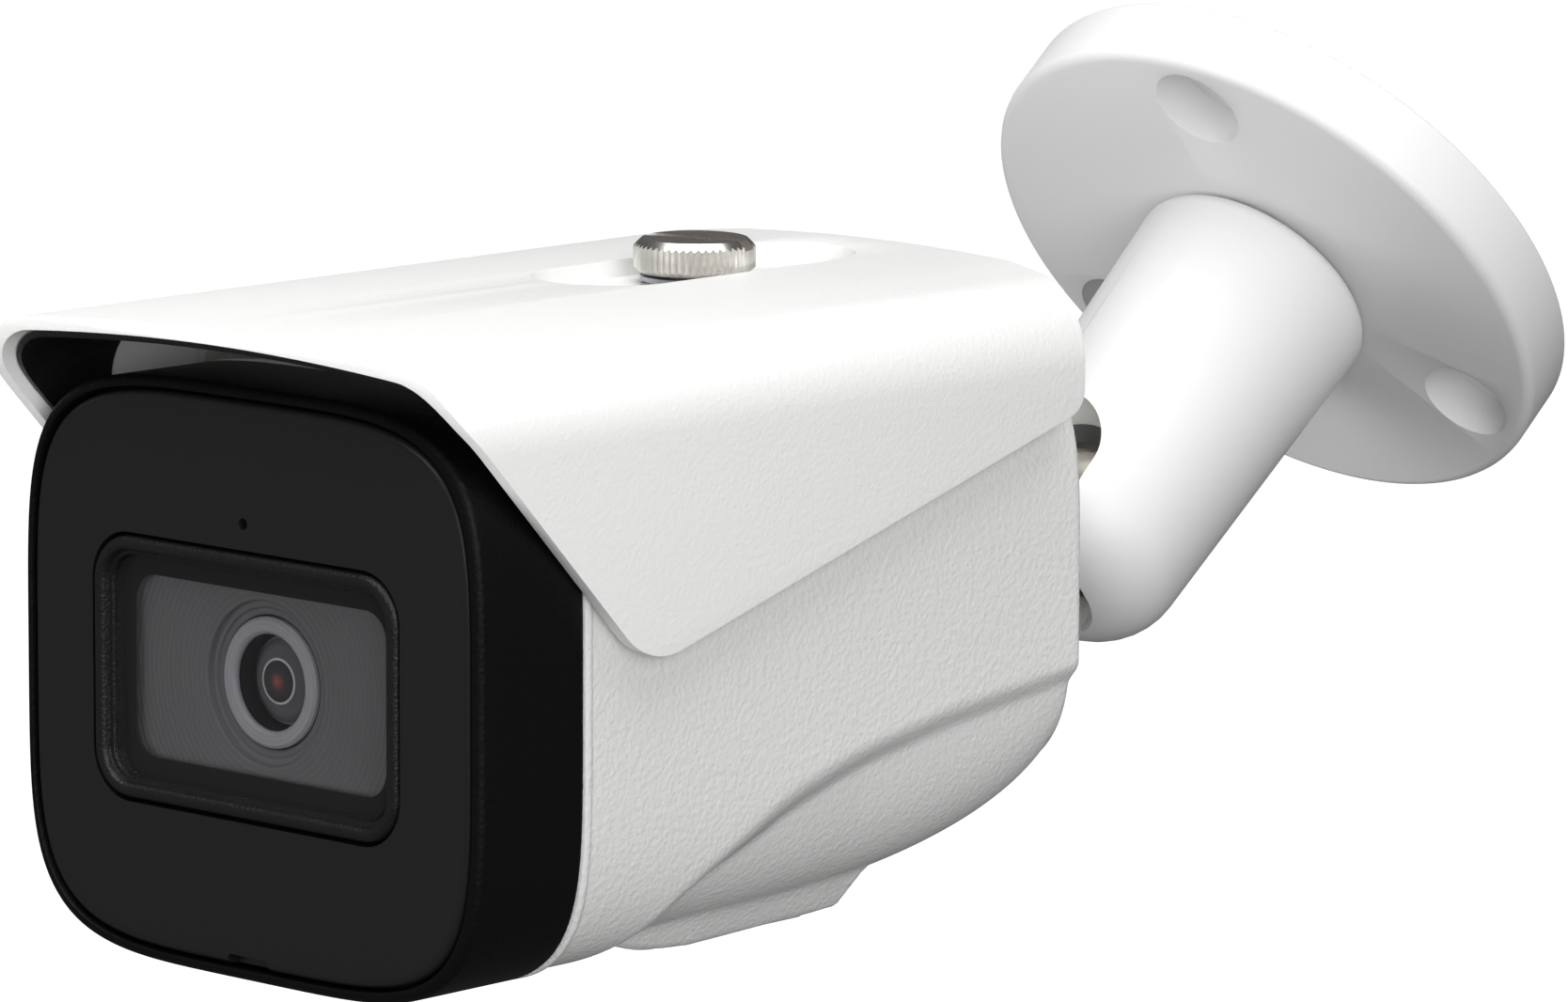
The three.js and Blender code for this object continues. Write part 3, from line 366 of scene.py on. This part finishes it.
combine(knuckle, rod(screw_hole, "x", -20, 20, count=40))
combine(knuckle, oblong((-passage, passage), (-18, -11.2), 0, 12.4))
soften_edges(knuckle, 0.3, angle=50)
seat(knuckle, face_place @ Matrix.Translation((0, reach / 1000, roll_lift / 1000)), "knuckle", "nickel",
     satin_nickel, "knuckle")


# Housing. A die-cast aluminium tub in white powder coat with a fine leather grain. The flanks are flat
# above a crease that falls towards the front; below it the wall steps in to a rounded belly, and
# underneath stands a low platform for the card cover. A fine bead runs round the front rim.
def tinted(material, shader, colour, share):
    """Makes the base colour a colour times a share that varies from place to place."""
    tint = add_node(material, "ShaderNodeVectorMath", {0: linear(colour)[:3], "Scale": share},
                    operation="SCALE")
    material.node_tree.links.new(tint.outputs["Vector"], shader.inputs["Base Color"])


def leather_paint(name, colour, roughness, grain, depth, gloss=0.4):
    """Textured powder coat: small shrivelled cells with shallow valleys, over very faint colour clouds."""
    material, shader = surface_of(name, Roughness=roughness)
    shader.inputs["Specular IOR Level"].default_value = gloss
    place = add_node(material, "ShaderNodeTexCoord", {}).outputs["Object"]
    cloud = add_node(material, "ShaderNodeTexNoise", {"Vector": place, "Scale": 1 / 0.03, "Detail": 2.0})
    shade = add_node(material, "ShaderNodeMapRange", {"Value": cloud.outputs["Fac"],
                                                      "To Min": 0.985, "To Max": 1.015})
    tinted(material, shader, colour, shade.outputs["Result"])
    drift = add_node(material, "ShaderNodeTexNoise", {"Vector": place, "Scale": 1 / (grain * 1.6)})
    shove = add_node(material, "ShaderNodeVectorMath", {0: drift.outputs["Color"], "Scale": grain * 0.8},
                     operation="SCALE")
    bent = add_node(material, "ShaderNodeVectorMath", {0: place, 1: shove.outputs["Vector"]},
                    operation="ADD")
    cells = add_node(material, "ShaderNodeTexVoronoi", {"Scale": 1 / grain}, feature="SMOOTH_F1")
    material.node_tree.links.new(bent.outputs["Vector"], cells.inputs["Vector"])
    fine = add_node(material, "ShaderNodeTexNoise", {"Vector": place, "Scale": 2.6 / grain, "Detail": 2.0})
    both = add_node(material, "ShaderNodeMath", {
        0: fine.outputs["Fac"], 1: 0.5, 2: cells.outputs["Distance"]}, operation="MULTIPLY_ADD")
    bumped(material, shader, both.outputs[0], depth, 0.00018)
    return material


def squared(half_width, half_height, power, turns):
    """Points of a squared ellipse at the given turns, anticlockwise from +X, in millimetres."""
    c, s = np.cos(turns), np.sin(turns)
    length = (np.abs(c) ** power + np.abs(s) ** power) ** (-1 / power)
    return np.stack([half_width * length * c, half_height * length * s], -1)


def across_y(points, y):
    """Points drawn in X and Z as a row that lies at one place along Y."""
    return np.stack([points[:, 0], np.full(len(points), y), points[:, 1]], -1)


def drawn(name, rows):
    """A grid whose crossings are moved onto rows of points, given in millimetres."""
    rows = np.asarray(rows, float) / 1000
    bpy.ops.object.select_all(action="DESELECT")
    bpy.ops.mesh.primitive_grid_add(x_subdivisions=rows.shape[1] - 1, y_subdivisions=rows.shape[0] - 1)
    piece = bpy.context.object
    piece.name = piece.data.name = name
    piece.data.vertices.foreach_set("co", rows.reshape(-1).astype(np.float32))
    piece.data.update()
    close_up(piece)
    return piece


def lower_of(a, b, blend):
    """The lower of two heights, with a hollow blend of that width where they meet."""
    near = np.maximum(blend - np.abs(a - b), 0) / blend
    return np.minimum(a, b) - near * near * blend / 4


housing_front, housing_rear, housing_power = 14.5, 91.0, 4.7
housing_half = (32.24, 30.04)
neck_hole, rear_wall, inside_share = 8.35, 3, 0.915
belly_power, belly_rear_depth, belly_start, belly_fall = 3.4, 18.3, 25.0, 3.4
# The crease: places along the body, and how far down the wall from the middle of the flank.
crease_y = (91, 70, 55, 45, 35, 30, 25, 22, 20, 18, 17)
crease_run = (5, 7, 9.5, 12.5, 18, 21.5, 27.5, 32.5, 37.5, 45, 56)
# The platform: its height along the body, and where its sloping side and rear meet the flat of it.
platform_y = (30, 34, 36, 38, 41, 45, 64, 67)
platform_z = (-28, -29.4, -30, -30.4, -30.75, -31, -30.45, -30.3)
platform_side, side_slope, platform_rear, rear_slope = 18.4, 1.5, 67.5, 3.0
# The bead on the front rim: distances behind the rim, and how far in from the wall's face.
rim_bead = ((0, 0.6), (0.05, 0), (0.2, -0.3), (0.45, -0.42), (0.85, -0.42), (1.2, -0.3), (1.5, 0))


def flank_runs():
    """Turns round the section from the bottom and back to it, and how far each lies below the flank."""
    quarter = np.linspace(0, math.pi / 2, 1500)
    arc = squared(*housing_half, housing_power, quarter)
    run = np.r_[0, np.cumsum(np.linalg.norm(np.diff(arc, axis=0), axis=1))]
    below = np.interp(np.linspace(run[-1], 0, 116), run, quarter)
    above = np.interp(np.linspace(0, run[-1], 34), run, quarter)
    turns = np.r_[-below, above[1:], (math.pi - above[::-1])[1:], math.pi + below[::-1][1:]]
    fall = np.interp(below, quarter, run)
    level = np.zeros(len(turns) - 2 * len(below))
    return turns, np.r_[fall, level, fall[::-1]]


def housing_section(y, turns, fall, line):
    """The outside of the tub across the body: the wall, the belly below the crease, the platform."""
    wall = squared(*housing_half, housing_power, turns)
    rise = min(max((y - belly_start) / (housing_rear - belly_start), 0), 1)
    swell = housing_half[1] + 0.06 - belly_rear_depth
    depth = belly_rear_depth + swell * math.sqrt(1 - rise ** belly_fall)
    span = np.linalg.norm(wall, axis=1, keepdims=True)
    ray = np.abs(wall / span) / (np.interp(y, (60, housing_rear), (30, 31.1)), depth)
    belly = wall / span * (ray ** belly_power).sum(1, keepdims=True) ** (-1 / belly_power)
    edge = np.interp(fall, line[:, 1], line[:, 0])
    apart = np.hypot(line[None, :, 0] - y, line[None, :, 1] - fall[:, None]).min(1)
    band = np.interp(y, (20, 45, 60, 91), (7.5, 7.0, 5.4, 3.0))
    share = np.clip(apart / band, 0, 1)
    share = share * share * (3 - 2 * share)
    share = np.where((y > edge) & (fall > 0), share, 0)[:, None]
    section = wall * (1 - share) + belly * share
    x, z = section[:, 0], section[:, 1]
    flat = np.full(len(x), np.interp(y, platform_y, platform_z))
    side = flat + side_slope * (np.abs(x) - platform_side)
    rear = flat + rear_slope * (y - platform_rear)
    slopes = -lower_of(-side, -rear, 0.8)
    platform = -lower_of(-flat, -slopes, 0.8)
    lowered = lower_of(z, platform, 0.7)
    section[:, 1] = np.where((z < -5) & (np.abs(x) < 26), lowered, z)
    return section


def housing_rows():
    """Rows along the outside, round the rear wall and its neck hole, and back along the inside."""
    turns, fall = flank_runs()
    share = np.linspace(0, len(crease_y) - 1, 500)
    places = np.arange(len(crease_y))
    line = np.stack([np.interp(share, places, crease_y), np.interp(share, places, crease_run)], -1)
    for _ in range(150):
        line[1:-1] = (line[:-2] + 2 * line[1:-1] + line[2:]) / 4
    outer = np.linspace(housing_front + 2, housing_rear - 0.8, 170)
    rows = []
    for step, inset in rim_bead:
        section = housing_section(housing_front + step, turns, fall, line)
        rows.append(across_y(section * (1 - inset / 31), housing_front + step))
    rows += [across_y(housing_section(y, turns, fall, line), y) for y in outer]
    last = housing_section(housing_rear - 0.8, turns, fall, line)
    for y, inset in ((housing_rear - 0.35, 0.12), (housing_rear - 0.1, 0.36), (housing_rear, 0.8)):
        rows.append(across_y(last * (1 - inset / 31), y))
    hole = squared(neck_hole, neck_hole, 2, turns) + np.array((0, roll_lift))
    rows.append(across_y(last * 0.6, housing_rear))
    rows.append(across_y(hole, housing_rear))
    rows.append(across_y(hole, housing_rear - rear_wall))
    for y in (housing_rear - rear_wall, 70, 50, 30, housing_front):
        inside = housing_section(y, turns, fall, line) * inside_share
        rows.append(across_y(inside, y))
    rows.append(rows[0])
    return rows


white_leather = leather_paint("white_leather_powder_coat", "#E2E2E1", 0.5, 0.0006, 0.5)
card_half, card_ends, card_gap = 17, (39, 65), 0.3
screw_y = 65
housing = drawn("housing_casting", housing_rows())
combine(housing, oblong((-5, 5), (43.5, 86.5), 28, 33.2, 2.0), "UNION")
combine(housing, oblong((-card_half - card_gap, card_half + card_gap),
                        (card_ends[0] - card_gap, card_ends[1] + card_gap), -34, -28.9, 2.0 + card_gap))
combine(housing, rod(3.9, "z", 25, 40, (0, screw_y), 40))
seat(housing, face_place, "camera", "white_paint", white_leather, "housing", angle=30)


# Card cover. A small die-cast lid under the belly in the same coat, held by two countersunk screws.
card_cover = oblong((-card_half, card_half), card_ends, -31, -29, 2.0)
card_cover.name = card_cover.data.name = "card_cover_lid"
for y in (card_ends[0] + 3, card_ends[1] - 3):
    combine(card_cover, rod(2.8, "z", -32, -29.9, (0, y), 48))
    combine(card_cover, rod(1.5, "z", -32, -28, (0, y), 32))
soften_edges(card_cover, 0.3, angle=50)
seat(card_cover, face_place, "camera", "white_paint", white_leather, "card_cover")


# Neck seal. A flat ring of black rubber squeezed between the housing and the flange of the knuckle.
def moulded(name, colour, roughness, grain, depth, **values):
    """Moulded or cut stock: an even colour, a grain of the given size and slightly uneven gloss."""
    material, shader = surface_of(name, Base_Color=linear(colour), **values)
    place = add_node(material, "ShaderNodeTexCoord", {}).outputs["Object"]
    cloud = add_node(material, "ShaderNodeTexNoise", {"Vector": place, "Scale": 1 / (grain * 8)})
    spread = add_node(material, "ShaderNodeMapRange", {
        "Value": cloud.outputs["Fac"], "To Min": roughness * 0.9, "To Max": roughness * 1.1})
    material.node_tree.links.new(spread.outputs["Result"], shader.inputs["Roughness"])
    pits = add_node(material, "ShaderNodeTexNoise", {"Vector": place, "Scale": 1 / grain, "Detail": 3.0})
    bumped(material, shader, pits.outputs["Fac"], depth, 0.00012)
    return material


black_rubber = moulded("black_nitrile_rubber", "#222222", 0.8, 0.0003, 0.25)
neck_seal = turned("neck_seal_ring", [(8.3, 91.3, 0.1), (12.5, 91.3, 0.3), (12.5, 92.5, 0.3),
                                      (8.3, 92.5, 0.1)], axis="y")
roll_place = face_place @ Matrix.Translation((0, 0, roll_lift / 1000))
seat(neck_seal, roll_place, "camera", "rubber", black_rubber, "neck_seal")


# Front cover. A die-cast aluminium frame in black powder coat with the same leather grain. Its rounded
# rim stands round the panel, and its ledge behind the panel has a hole for a screw in each corner.
face_power = 4.5
cover_half, cover_opening, cover_wall = (33.1, 30.5), (24, 21.5), 2.5


def even_turns(half, power, count):
    """Turns that step evenly round a squared outline, closed."""
    fine = np.linspace(0, 2 * math.pi, 8001)
    outline = squared(*half, power, fine)
    run = np.r_[0, np.cumsum(np.linalg.norm(np.diff(outline, axis=0), axis=1))]
    return np.interp(np.linspace(0, run[-1], count + 1), run, fine)


cover_turns = even_turns(cover_half, face_power, 240)


def cover_row(y, inset, half=cover_half):
    return across_y(squared(half[0] - inset, half[1] - inset, face_power, cover_turns), y)


cover_rows = [cover_row(14.2, cover_wall), cover_row(5.2, cover_wall), cover_row(5.2, 0, cover_opening),
              cover_row(1.8, 0, cover_opening), cover_row(1.8, 1.15), cover_row(-0.75, 1.15),
              cover_row(-0.88, 1.08)]
for step in range(9):
    swing = math.pi / 2 * step / 8
    cover_rows.append(cover_row(0.1 - math.cos(swing), 1 - math.sin(swing)))
cover_rows += [cover_row(y, 0) for y in (3, 7, 11, 13.4)]
cover_rows += [cover_row(13.75, 0.06), cover_row(14.0, 0.25), cover_row(14.15, 0.5), cover_row(14.2, 0.9),
               cover_row(14.2, cover_wall)]
front_cover = drawn("front_cover_frame", cover_rows)
for x, z in ((-23, -20.5), (23, -20.5), (23, 20.5), (-23, 20.5)):
    combine(front_cover, rod(2.5, "y", 0.8, 3.4, (x, z), 40))
    combine(front_cover, rod(1.5, "y", 0.8, 6, (x, z), 24))
black_leather = leather_paint("black_leather_powder_coat", "#080809", 0.5, 0.00055, 0.35, 0.22)
seat(front_cover, face_place, "camera", "black_paint", black_leather, "front_cover", angle=35)


# Front panel. A dark polycarbonate plate, very slightly pillowed and satin, that lets infrared through.
# It lies in the frame with a groove all round, and has a hole for the microphone.
def rounded(half_width, half_height, radius, steps=12):
    """A rectangle with round corners, closed by its first point."""
    w, h = half_width, half_height
    outline = softened([(w, -h, radius), (w, h, radius), (-w, h, radius), (-w, -h, radius)], steps)
    return np.array(outline + outline[:1])


panel_half = (31.55, 28.95)
panel_opening = (22.3, 14.0, 5.3)
panel_rows = [cover_row(1.5, 20, panel_half), cover_row(1.5, 0.2, panel_half), cover_row(1.3, 0, panel_half)]
for step in range(7):
    swing = math.pi / 2 * step / 6
    panel_rows.append(cover_row(-0.1 - 0.8 * math.sin(swing), 0.8 - 0.8 * math.cos(swing), panel_half))
for inset in (1.6, 3, 5, 7.5, 10, 14, 20):
    crown = 0.35 * (1 - (1 - min((inset - 0.8) / 9.2, 1)) ** 2)
    panel_rows.append(cover_row(-0.9 - crown, inset, panel_half))
panel_rows.append(cover_row(1.5, 20, panel_half))
front_panel = drawn("front_panel_plate", panel_rows)
combine(front_panel, prism("opening", rounded(*panel_opening)[:-1], "y", -3, 4))
combine(front_panel, rod(0.6, "y", -3, 4, (0, 16.7), 40))
combine(front_panel, oblong((-2.9, 2.9), (-31, -27.85), -3, 0.5, 0.5, "y"))
soften_edges(front_panel, 0.12, angle=50)
satin_panel = moulded("satin_black_polycarbonate", "#171718", 0.36, 0.0004, 0.03)
seat(front_panel, face_place, "camera", "panel", satin_panel, "front_panel", angle=35)


# Window bezel. A moulded ring of textured black plastic, convex in front, with a smooth step inside it
# down to the glass.
bezel_profile = [(4.2, 0), (-0.9, 0), (-1.15, 0.06), (-1.4, 0.2), (-1.6, 0.45), (-1.7, 0.8), (-1.66, 1.1),
                 (-1.5, 1.35), (-1.2, 1.5), (-0.85, 1.55), (-0.7, 1.6), (-0.62, 1.75), (-0.6, 2.0),
                 (-0.45, 2.08), (4.2, 2.1), (4.2, 0)]
window_bezel = drawn("window_bezel_ring", [
    across_y(rounded(22 - inset, 13.6 - inset, 5 - inset), y) for y, inset in bezel_profile])
textured_black = moulded("textured_black_plastic", "#141415", 0.38, 0.0003, 0.9)
seat(window_bezel, face_place, "camera", "black_plastic", textured_black, "window_bezel", angle=40)


# Window glass. A flat tempered pane with a ground edge, and behind it a printed dark border.
pane_shape = (19.6, 11.6, 3.2)
window_glass = prism("window_pane", rounded(*pane_shape)[:-1], "y", -0.4, 0.8)
soften_edges(window_glass, 0.18, segments=2, angle=50)
pane = moulded("tempered_glass", "#2A2A2C", 0.03, 0.002, 0.01, Alpha=0.22, IOR=1.5)
seat(window_glass, face_place, "camera", "clear_glass", pane, "window_glass", angle=40)
window_mask = prism("window_border", rounded(*pane_shape)[:-1], "y", 0.85, 1.1)
combine(window_mask, prism("opening", rounded(18.3, 9.5, 3.0)[:-1], "y", 0, 3))
black_print = moulded("matt_black_print", "#0C0C0D", 0.6, 0.0002, 0.1)
seat(window_mask, face_place, "camera", "dark_mask", black_print, "window_mask", angle=40)


# Lens baffle. A grey moulding behind the glass, faced with fine concentric rings that kill stray
# light, with a sleeve round the lens.
lens_height = face_place.translation.z


def ringed(name, colour, roughness, spacing, depth):
    """Concentric rings about the lens axis, the given distance apart."""
    material, shader = surface_of(name, Roughness=roughness)
    place = add_node(material, "ShaderNodeTexCoord", {}).outputs["Object"]
    centred = add_node(material, "ShaderNodeMapping", {"Vector": place, "Location": (0, 0, -lens_height)})
    rings = add_node(material, "ShaderNodeTexWave", {
        "Vector": centred.outputs["Vector"], "Scale": 2 * math.pi / (20 * spacing)},
        wave_type="RINGS", rings_direction="Y")
    shade = add_node(material, "ShaderNodeMapRange", {"Value": rings.outputs["Fac"],
                                                      "To Min": 0.93, "To Max": 1.04})
    tinted(material, shader, colour, shade.outputs["Result"])
    bumped(material, shader, rings.outputs["Fac"], depth, 0.0001)
    return material


baffle = prism("lens_baffle_plate", rounded(19.3, 11.3, 2.9)[:-1], "y", 1.8, 3.0)
combine(baffle, rod(9.4, "y", 2.4, 8.3, count=96), "UNION")
combine(baffle, rod(8.5, "y", 0, 2.4, count=96))
combine(baffle, rod(7.7, "y", 0, 2.7, count=96))
combine(baffle, rod(6.95, "y", 0, 9, count=96))
soften_edges(baffle, 0.2, angle=50)
ringed_grey = ringed("ringed_grey_moulding", "#6A6A6C", 0.5, 0.0007, 0.3)
seat(baffle, face_place, "camera", "baffle", ringed_grey, "lens_baffle", angle=40)


# Lens. A turned grey ring lies before the mouth of the black barrel, which holds the coated front element.
lens_ring = turned("lens_ring_turned", [(5.0, 2.9, 0), (5.0, 2.55, 0.1), (5.35, 2.2, 0.1), (6.45, 2.2, 0.15),
                                        (6.75, 2.45, 0.1), (6.75, 2.9, 0)], axis="y", steps=128)
ring_grey = ringed("satin_grey_ring", "#A2A2A8", 0.42, 0.0005, 0.08)
seat(lens_ring, face_place, "camera", "lens_grey", ring_grey, "lens_ring", angle=25)
lens_barrel = turned("lens_barrel_turned", [
    (5.0, 3.2, 0), (6.75, 3.2, 0.1), (6.75, 6.7, 0.2), (6.0, 7.4, 0), (6.0, 18.7, 0.3), (3.2, 18.7, 0.2),
    (3.2, 7.7, 0), (5.0, 6.4, 0)], axis="y")
seat(lens_barrel, face_place, "camera", "black_plastic", textured_black, "lens_barrel", angle=25)


def painted_lens_glints_and_shade(name):
    """The look down the coated lens, painted on the glass: a dark grey field, a darker pupil that is painted
    shade deep in the lens, a reddish painted glint in the middle, and thin bright circles that are painted
    highlights.
    """
    material, shader = surface_of(name, Roughness=0.06, Coat_Weight=0.6, Coat_Roughness=0.02, IOR=1.6)
    place = add_node(material, "ShaderNodeTexCoord", {}).outputs["Object"]
    flat = add_node(material, "ShaderNodeVectorMath", {0: place, 1: (1, 0, 1)}, operation="MULTIPLY")
    axis_point = (0, 0, lens_height)
    reach_out = add_node(material, "ShaderNodeVectorMath", {0: flat.outputs["Vector"], 1: axis_point},
                         operation="DISTANCE")
    share = add_node(material, "ShaderNodeMapRange", {"Value": reach_out.outputs["Value"],
                                                      "From Max": 0.005})
    painted_light_ramp = add_node(material, "ShaderNodeValToRGB", {"Fac": share.outputs["Result"]})
    # Stops by distance from the lens axis: a reddish painted glint in the middle, a dark pupil of painted
    # shade, and bright rings at 0.455 and 0.9 that are painted highlights, over a grey field.
    stops = ((0, "#9A5A4C"), (0.1, "#7A4A42"), (0.2, "#403C3D"), (0.42, "#303032"), (0.455, "#D8D8DC"),
             (0.49, "#58585B"), (0.7, "#69696C"), (0.86, "#5E5E61"), (0.9, "#98989C"), (0.93, "#2C2C2E"))
    ramp = painted_light_ramp.color_ramp.elements
    ramp[0].position, ramp[0].color = stops[0][0], linear(stops[0][1])
    ramp[1].position, ramp[1].color = stops[-1][0], linear(stops[-1][1])
    for position, colour in stops[1:-1]:
        ramp.new(position).color = linear(colour)
    material.node_tree.links.new(painted_light_ramp.outputs["Color"], shader.inputs["Base Color"])
    return material


front_element = turned("front_element_glass", [
    (0, 3.4, 0), (1.2, 3.45, 0), (2.4, 3.65, 0), (3.4, 4.0, 0), (4.7, 4.9, 0.1), (4.7, 6.0, 0), (0, 6.0, 0)],
    axis="y", steps=128)
seat(front_element, face_place, "camera", "lens_glass", painted_lens_glints_and_shade("lens_glass_painted_glints_and_shade"),
     "lens_front_element", angle=40)


# Sunshade. A pressed aluminium hood in the white leather coat: a shallow crown, rounded shoulders, and
# flaps that run down to a blunt tip. A sunk channel on top holds the slot for its thumbscrew.
shade_half, shade_crown, crown_radius, shoulder_radius, sheet = 34.8, 37.0, 300.0, 9.0, 1.5
shade_front, shade_side_rear = -6.5, 88.1


def arch_outline(outside, inside, foot=-4):
    """The hood's section between two depths below its outer skin."""
    shoulder_x = shade_half - shoulder_radius
    spread = crown_radius - shoulder_radius
    centre = shade_crown - crown_radius
    shoulder_z = centre + math.sqrt(spread ** 2 - shoulder_x ** 2)
    lean = math.asin(shoulder_x / spread)

    def half(depth):
        crown = [((crown_radius - depth) * math.sin(lean * i / 16),
                  centre + (crown_radius - depth) * math.cos(lean * i / 16)) for i in range(17)]
        turns = [lean + (math.pi / 2 - lean) * i / 14 for i in range(1, 15)]
        corner = [(shoulder_x + (shoulder_radius - depth) * math.sin(t),
                   shoulder_z + (shoulder_radius - depth) * math.cos(t)) for t in turns]
        return crown + corner + [(shade_half - depth, foot)]

    outer, inner = half(outside), half(inside)
    return ([(-x, z) for x, z in outer[:0:-1]] + outer + inner[::-1] + [(-x, z) for x, z in inner[1:]])


def flap_outline(inset):
    """Side view of the hood, Y and Z, drawn back by an inset."""
    front = shade_front + inset
    return softened([(front, 50, 0), (front, 32.7, 12), (21.7, 3.3 + 1.4 * inset, 8),
                     (shade_side_rear, 22.6 + inset, 3), (shade_side_rear, 27, 0),
                     (99, 27, 0), (99, 50, 0)], 10)


def stadium(half_width, half_length, low, high):
    """A block with round ends, centred on the thumbscrew."""
    ends = (screw_y - half_length, screw_y + half_length)
    return oblong((-half_width, half_width), ends, low, high, half_width)


sunshade = prism("sunshade_hood", arch_outline(0, sheet), "y", -7.5, 95)
combine(sunshade, prism("side", flap_outline(0), "x", -40, 40), "INTERSECT")
plan = [(-36, shade_front, 0), (36, shade_front, 0), (36, 87.7, 0), (shade_half, shade_side_rear, 3),
        (19.3, 93.5, 3), (-19.3, 93.5, 3), (-shade_half, shade_side_rear, 3), (-36, 87.7, 0)]
combine(sunshade, prism("plan", softened(plan), "z", -10, 45), "INTERSECT")
combine(sunshade, stadium(9.7, 23, 33.5, 36.2), "UNION")
combine(sunshade, stadium(8.2, 21.5, 35, 42))
combine(sunshade, stadium(3, 15, 30, 42))
soften_edges(sunshade, 0.35, angle=40)
# Hood and housing wear one and the same white coat; the hood's copy is painted lighter, as painted light for
# the extra light the hood catches.
hood_coat_painted_lighter = leather_paint("hood_powder_coat_painted_lighter", "#F3F3F2", 0.5, 0.0005, 0.24)
seat(sunshade, face_place, "shade", "white_paint", hood_coat_painted_lighter, "sunshade", angle=30)


# Glare liner and rib. A black film lines the front of the hood, and behind it a grey foam strip is
# glued across to rest on the housing. Behind its front strip the film covers only crown and shoulders.
film_foot = 21.5
liner = prism("glare_liner_film", arch_outline(sheet + 0.3, sheet + 0.9), "y", -5.6, 11)
combine(liner, prism("side", flap_outline(1.6), "x", -40, 40), "INTERSECT")
combine(liner, oblong((-36, 36), (-5, film_foot), -1.9, 12, axis="y"))
seat(liner, face_place, "shade", "black_plastic", textured_black, "glare_liner", angle=30)
rib = prism("shade_rib_strip", arch_outline(sheet + 0.3, sheet + 1.3), "y", 23.8, 26.7)
combine(rib, oblong((-36, 36), (-10, 24), 20, 30, axis="y"))
soften_edges(rib, 0.25, angle=50)
pale_plastic = moulded("pale_moulded_nylon", "#D8D7D3", 0.5, 0.0003, 0.15)
seat(rib, face_place, "shade", "white_plastic", pale_plastic, "shade_rib", angle=30)


# Thumbscrew. Turned brass under bright nickel, with a straight-knurled rim, chamfers and a wide
# slot; it clamps the hood through a zinc-plated washer.
bright_nickel = plated("bright_nickel", "#F0EDE8", 0.24)
teeth, tooth_depths = 50, (0.34, 0.12, 0, 0.12)
head_radius, head_low, head_high = 6.5, 36.1, 39.8
shank_radius, shank_end = 2.4, 24.04
rim = []
for i in range(teeth * 4):
    tooth_turn = 2 * math.pi * i / (teeth * 4)
    radius = head_radius - tooth_depths[i % 4]
    rim.append((radius * math.cos(tooth_turn), radius * math.sin(tooth_turn)))
thumbscrew = prism("thumbscrew_turned", rim, "z", head_low, head_high)
combine(thumbscrew, turned("envelope", [
    (0, head_low, 0), (5.8, head_low, 0), (6.6, 36.8, 0), (6.6, 38.8, 0.4), (5.6, head_high, 0.4),
    (0, head_high, 0)], steps=160), "INTERSECT")
combine(thumbscrew, turned("shank", [
    (0, shank_end, 0), (shank_radius, shank_end, 0.5), (shank_radius, head_low + 0.5, 0),
    (0, head_low + 0.5, 0)], steps=64), "UNION")
slot_cutter = oblong((-9, 9), (-0.95, 0.95), 38.7, 42)
slot_cutter.rotation_euler.z = math.radians(18)
combine(thumbscrew, slot_cutter)
screw_place = face_place @ Matrix.Translation((0, screw_y / 1000, 0))
seat(thumbscrew, screw_place, "thumbscrew", "nickel", bright_nickel, "shade_screw", angle=30)


# Fasteners, boards and what is inside. The solids carried over as they are get their finish here:
# zinc-plated screws and rings, brass, rubber, green boards, chips and clear emitters.
def board_finish():
    """Green solder mask over copper: a grid of lighter tracks 0.8 mm apart shows through the lacquer."""
    material, shader = surface_of("green_circuit_board", Roughness=0.35, Coat_Weight=0.3)
    place = add_node(material, "ShaderNodeTexCoord", {}).outputs["Object"]
    tracks = add_node(material, "ShaderNodeTexBrick", {
        "Vector": place, "Scale": 1 / 0.0032, "Mortar Size": 0.03, "Color1": linear("#1C5234"),
        "Color2": linear("#1F5A38"), "Mortar": linear("#3C8355")})
    material.node_tree.links.new(tracks.outputs["Color"], shader.inputs["Base Color"])
    return material


zinc = plated("zinc_plate", "#A6A8AB", 0.36)
brass = plated("turned_brass", "#BB9B50", 0.34)
aluminium = plated("milled_aluminium", "#B9BCC0", 0.4)
finishes = {
    zinc: ("arm_retaining_ring", "wave_washer", "shade_washer", "card_cover_screw_1", "card_cover_screw_2",
           *[f"cover_screw_{i}" for i in range(1, 5)]),
    satin_nickel: ("tilt_screw",),
    brass: ("neck_nut", "shade_screw_insert", *[f"board_standoff_{i}" for i in range(1, 5)]),
    aluminium: ("microphone", "heat_spreader"),
    black_rubber: ("front_gasket",),
    textured_black: ("lens_holder",),
    pale_plastic: ("cable_header",),
    board_finish(): ("sensor_board", "main_board", "led_board"),
    moulded("moulded_epoxy", "#1C1C20", 0.35, 0.0002, 0.1): ("image_sensor",),
    moulded("silicone_pad", "#7C8FA8", 0.75, 0.0004, 0.3): ("heat_pad",),
    moulded("clear_epoxy", "#E4E6EA", 0.12, 0.0008, 0.02, Alpha=0.5): (
        *[f"ir_led_{i}" for i in range(1, 5)],),
    moulded("filter_glass", "#B07A86", 0.05, 0.002, 0.01, Alpha=0.5): ("ir_cut_filter",),
}
for material, names in finishes.items():
    for name in names:
        node = bpy.data.objects[name]
        node.data.materials.clear()
        node.data.materials.append(material)
        use(node)
        bpy.ops.object.shade_smooth_by_angle(angle=math.radians(30))
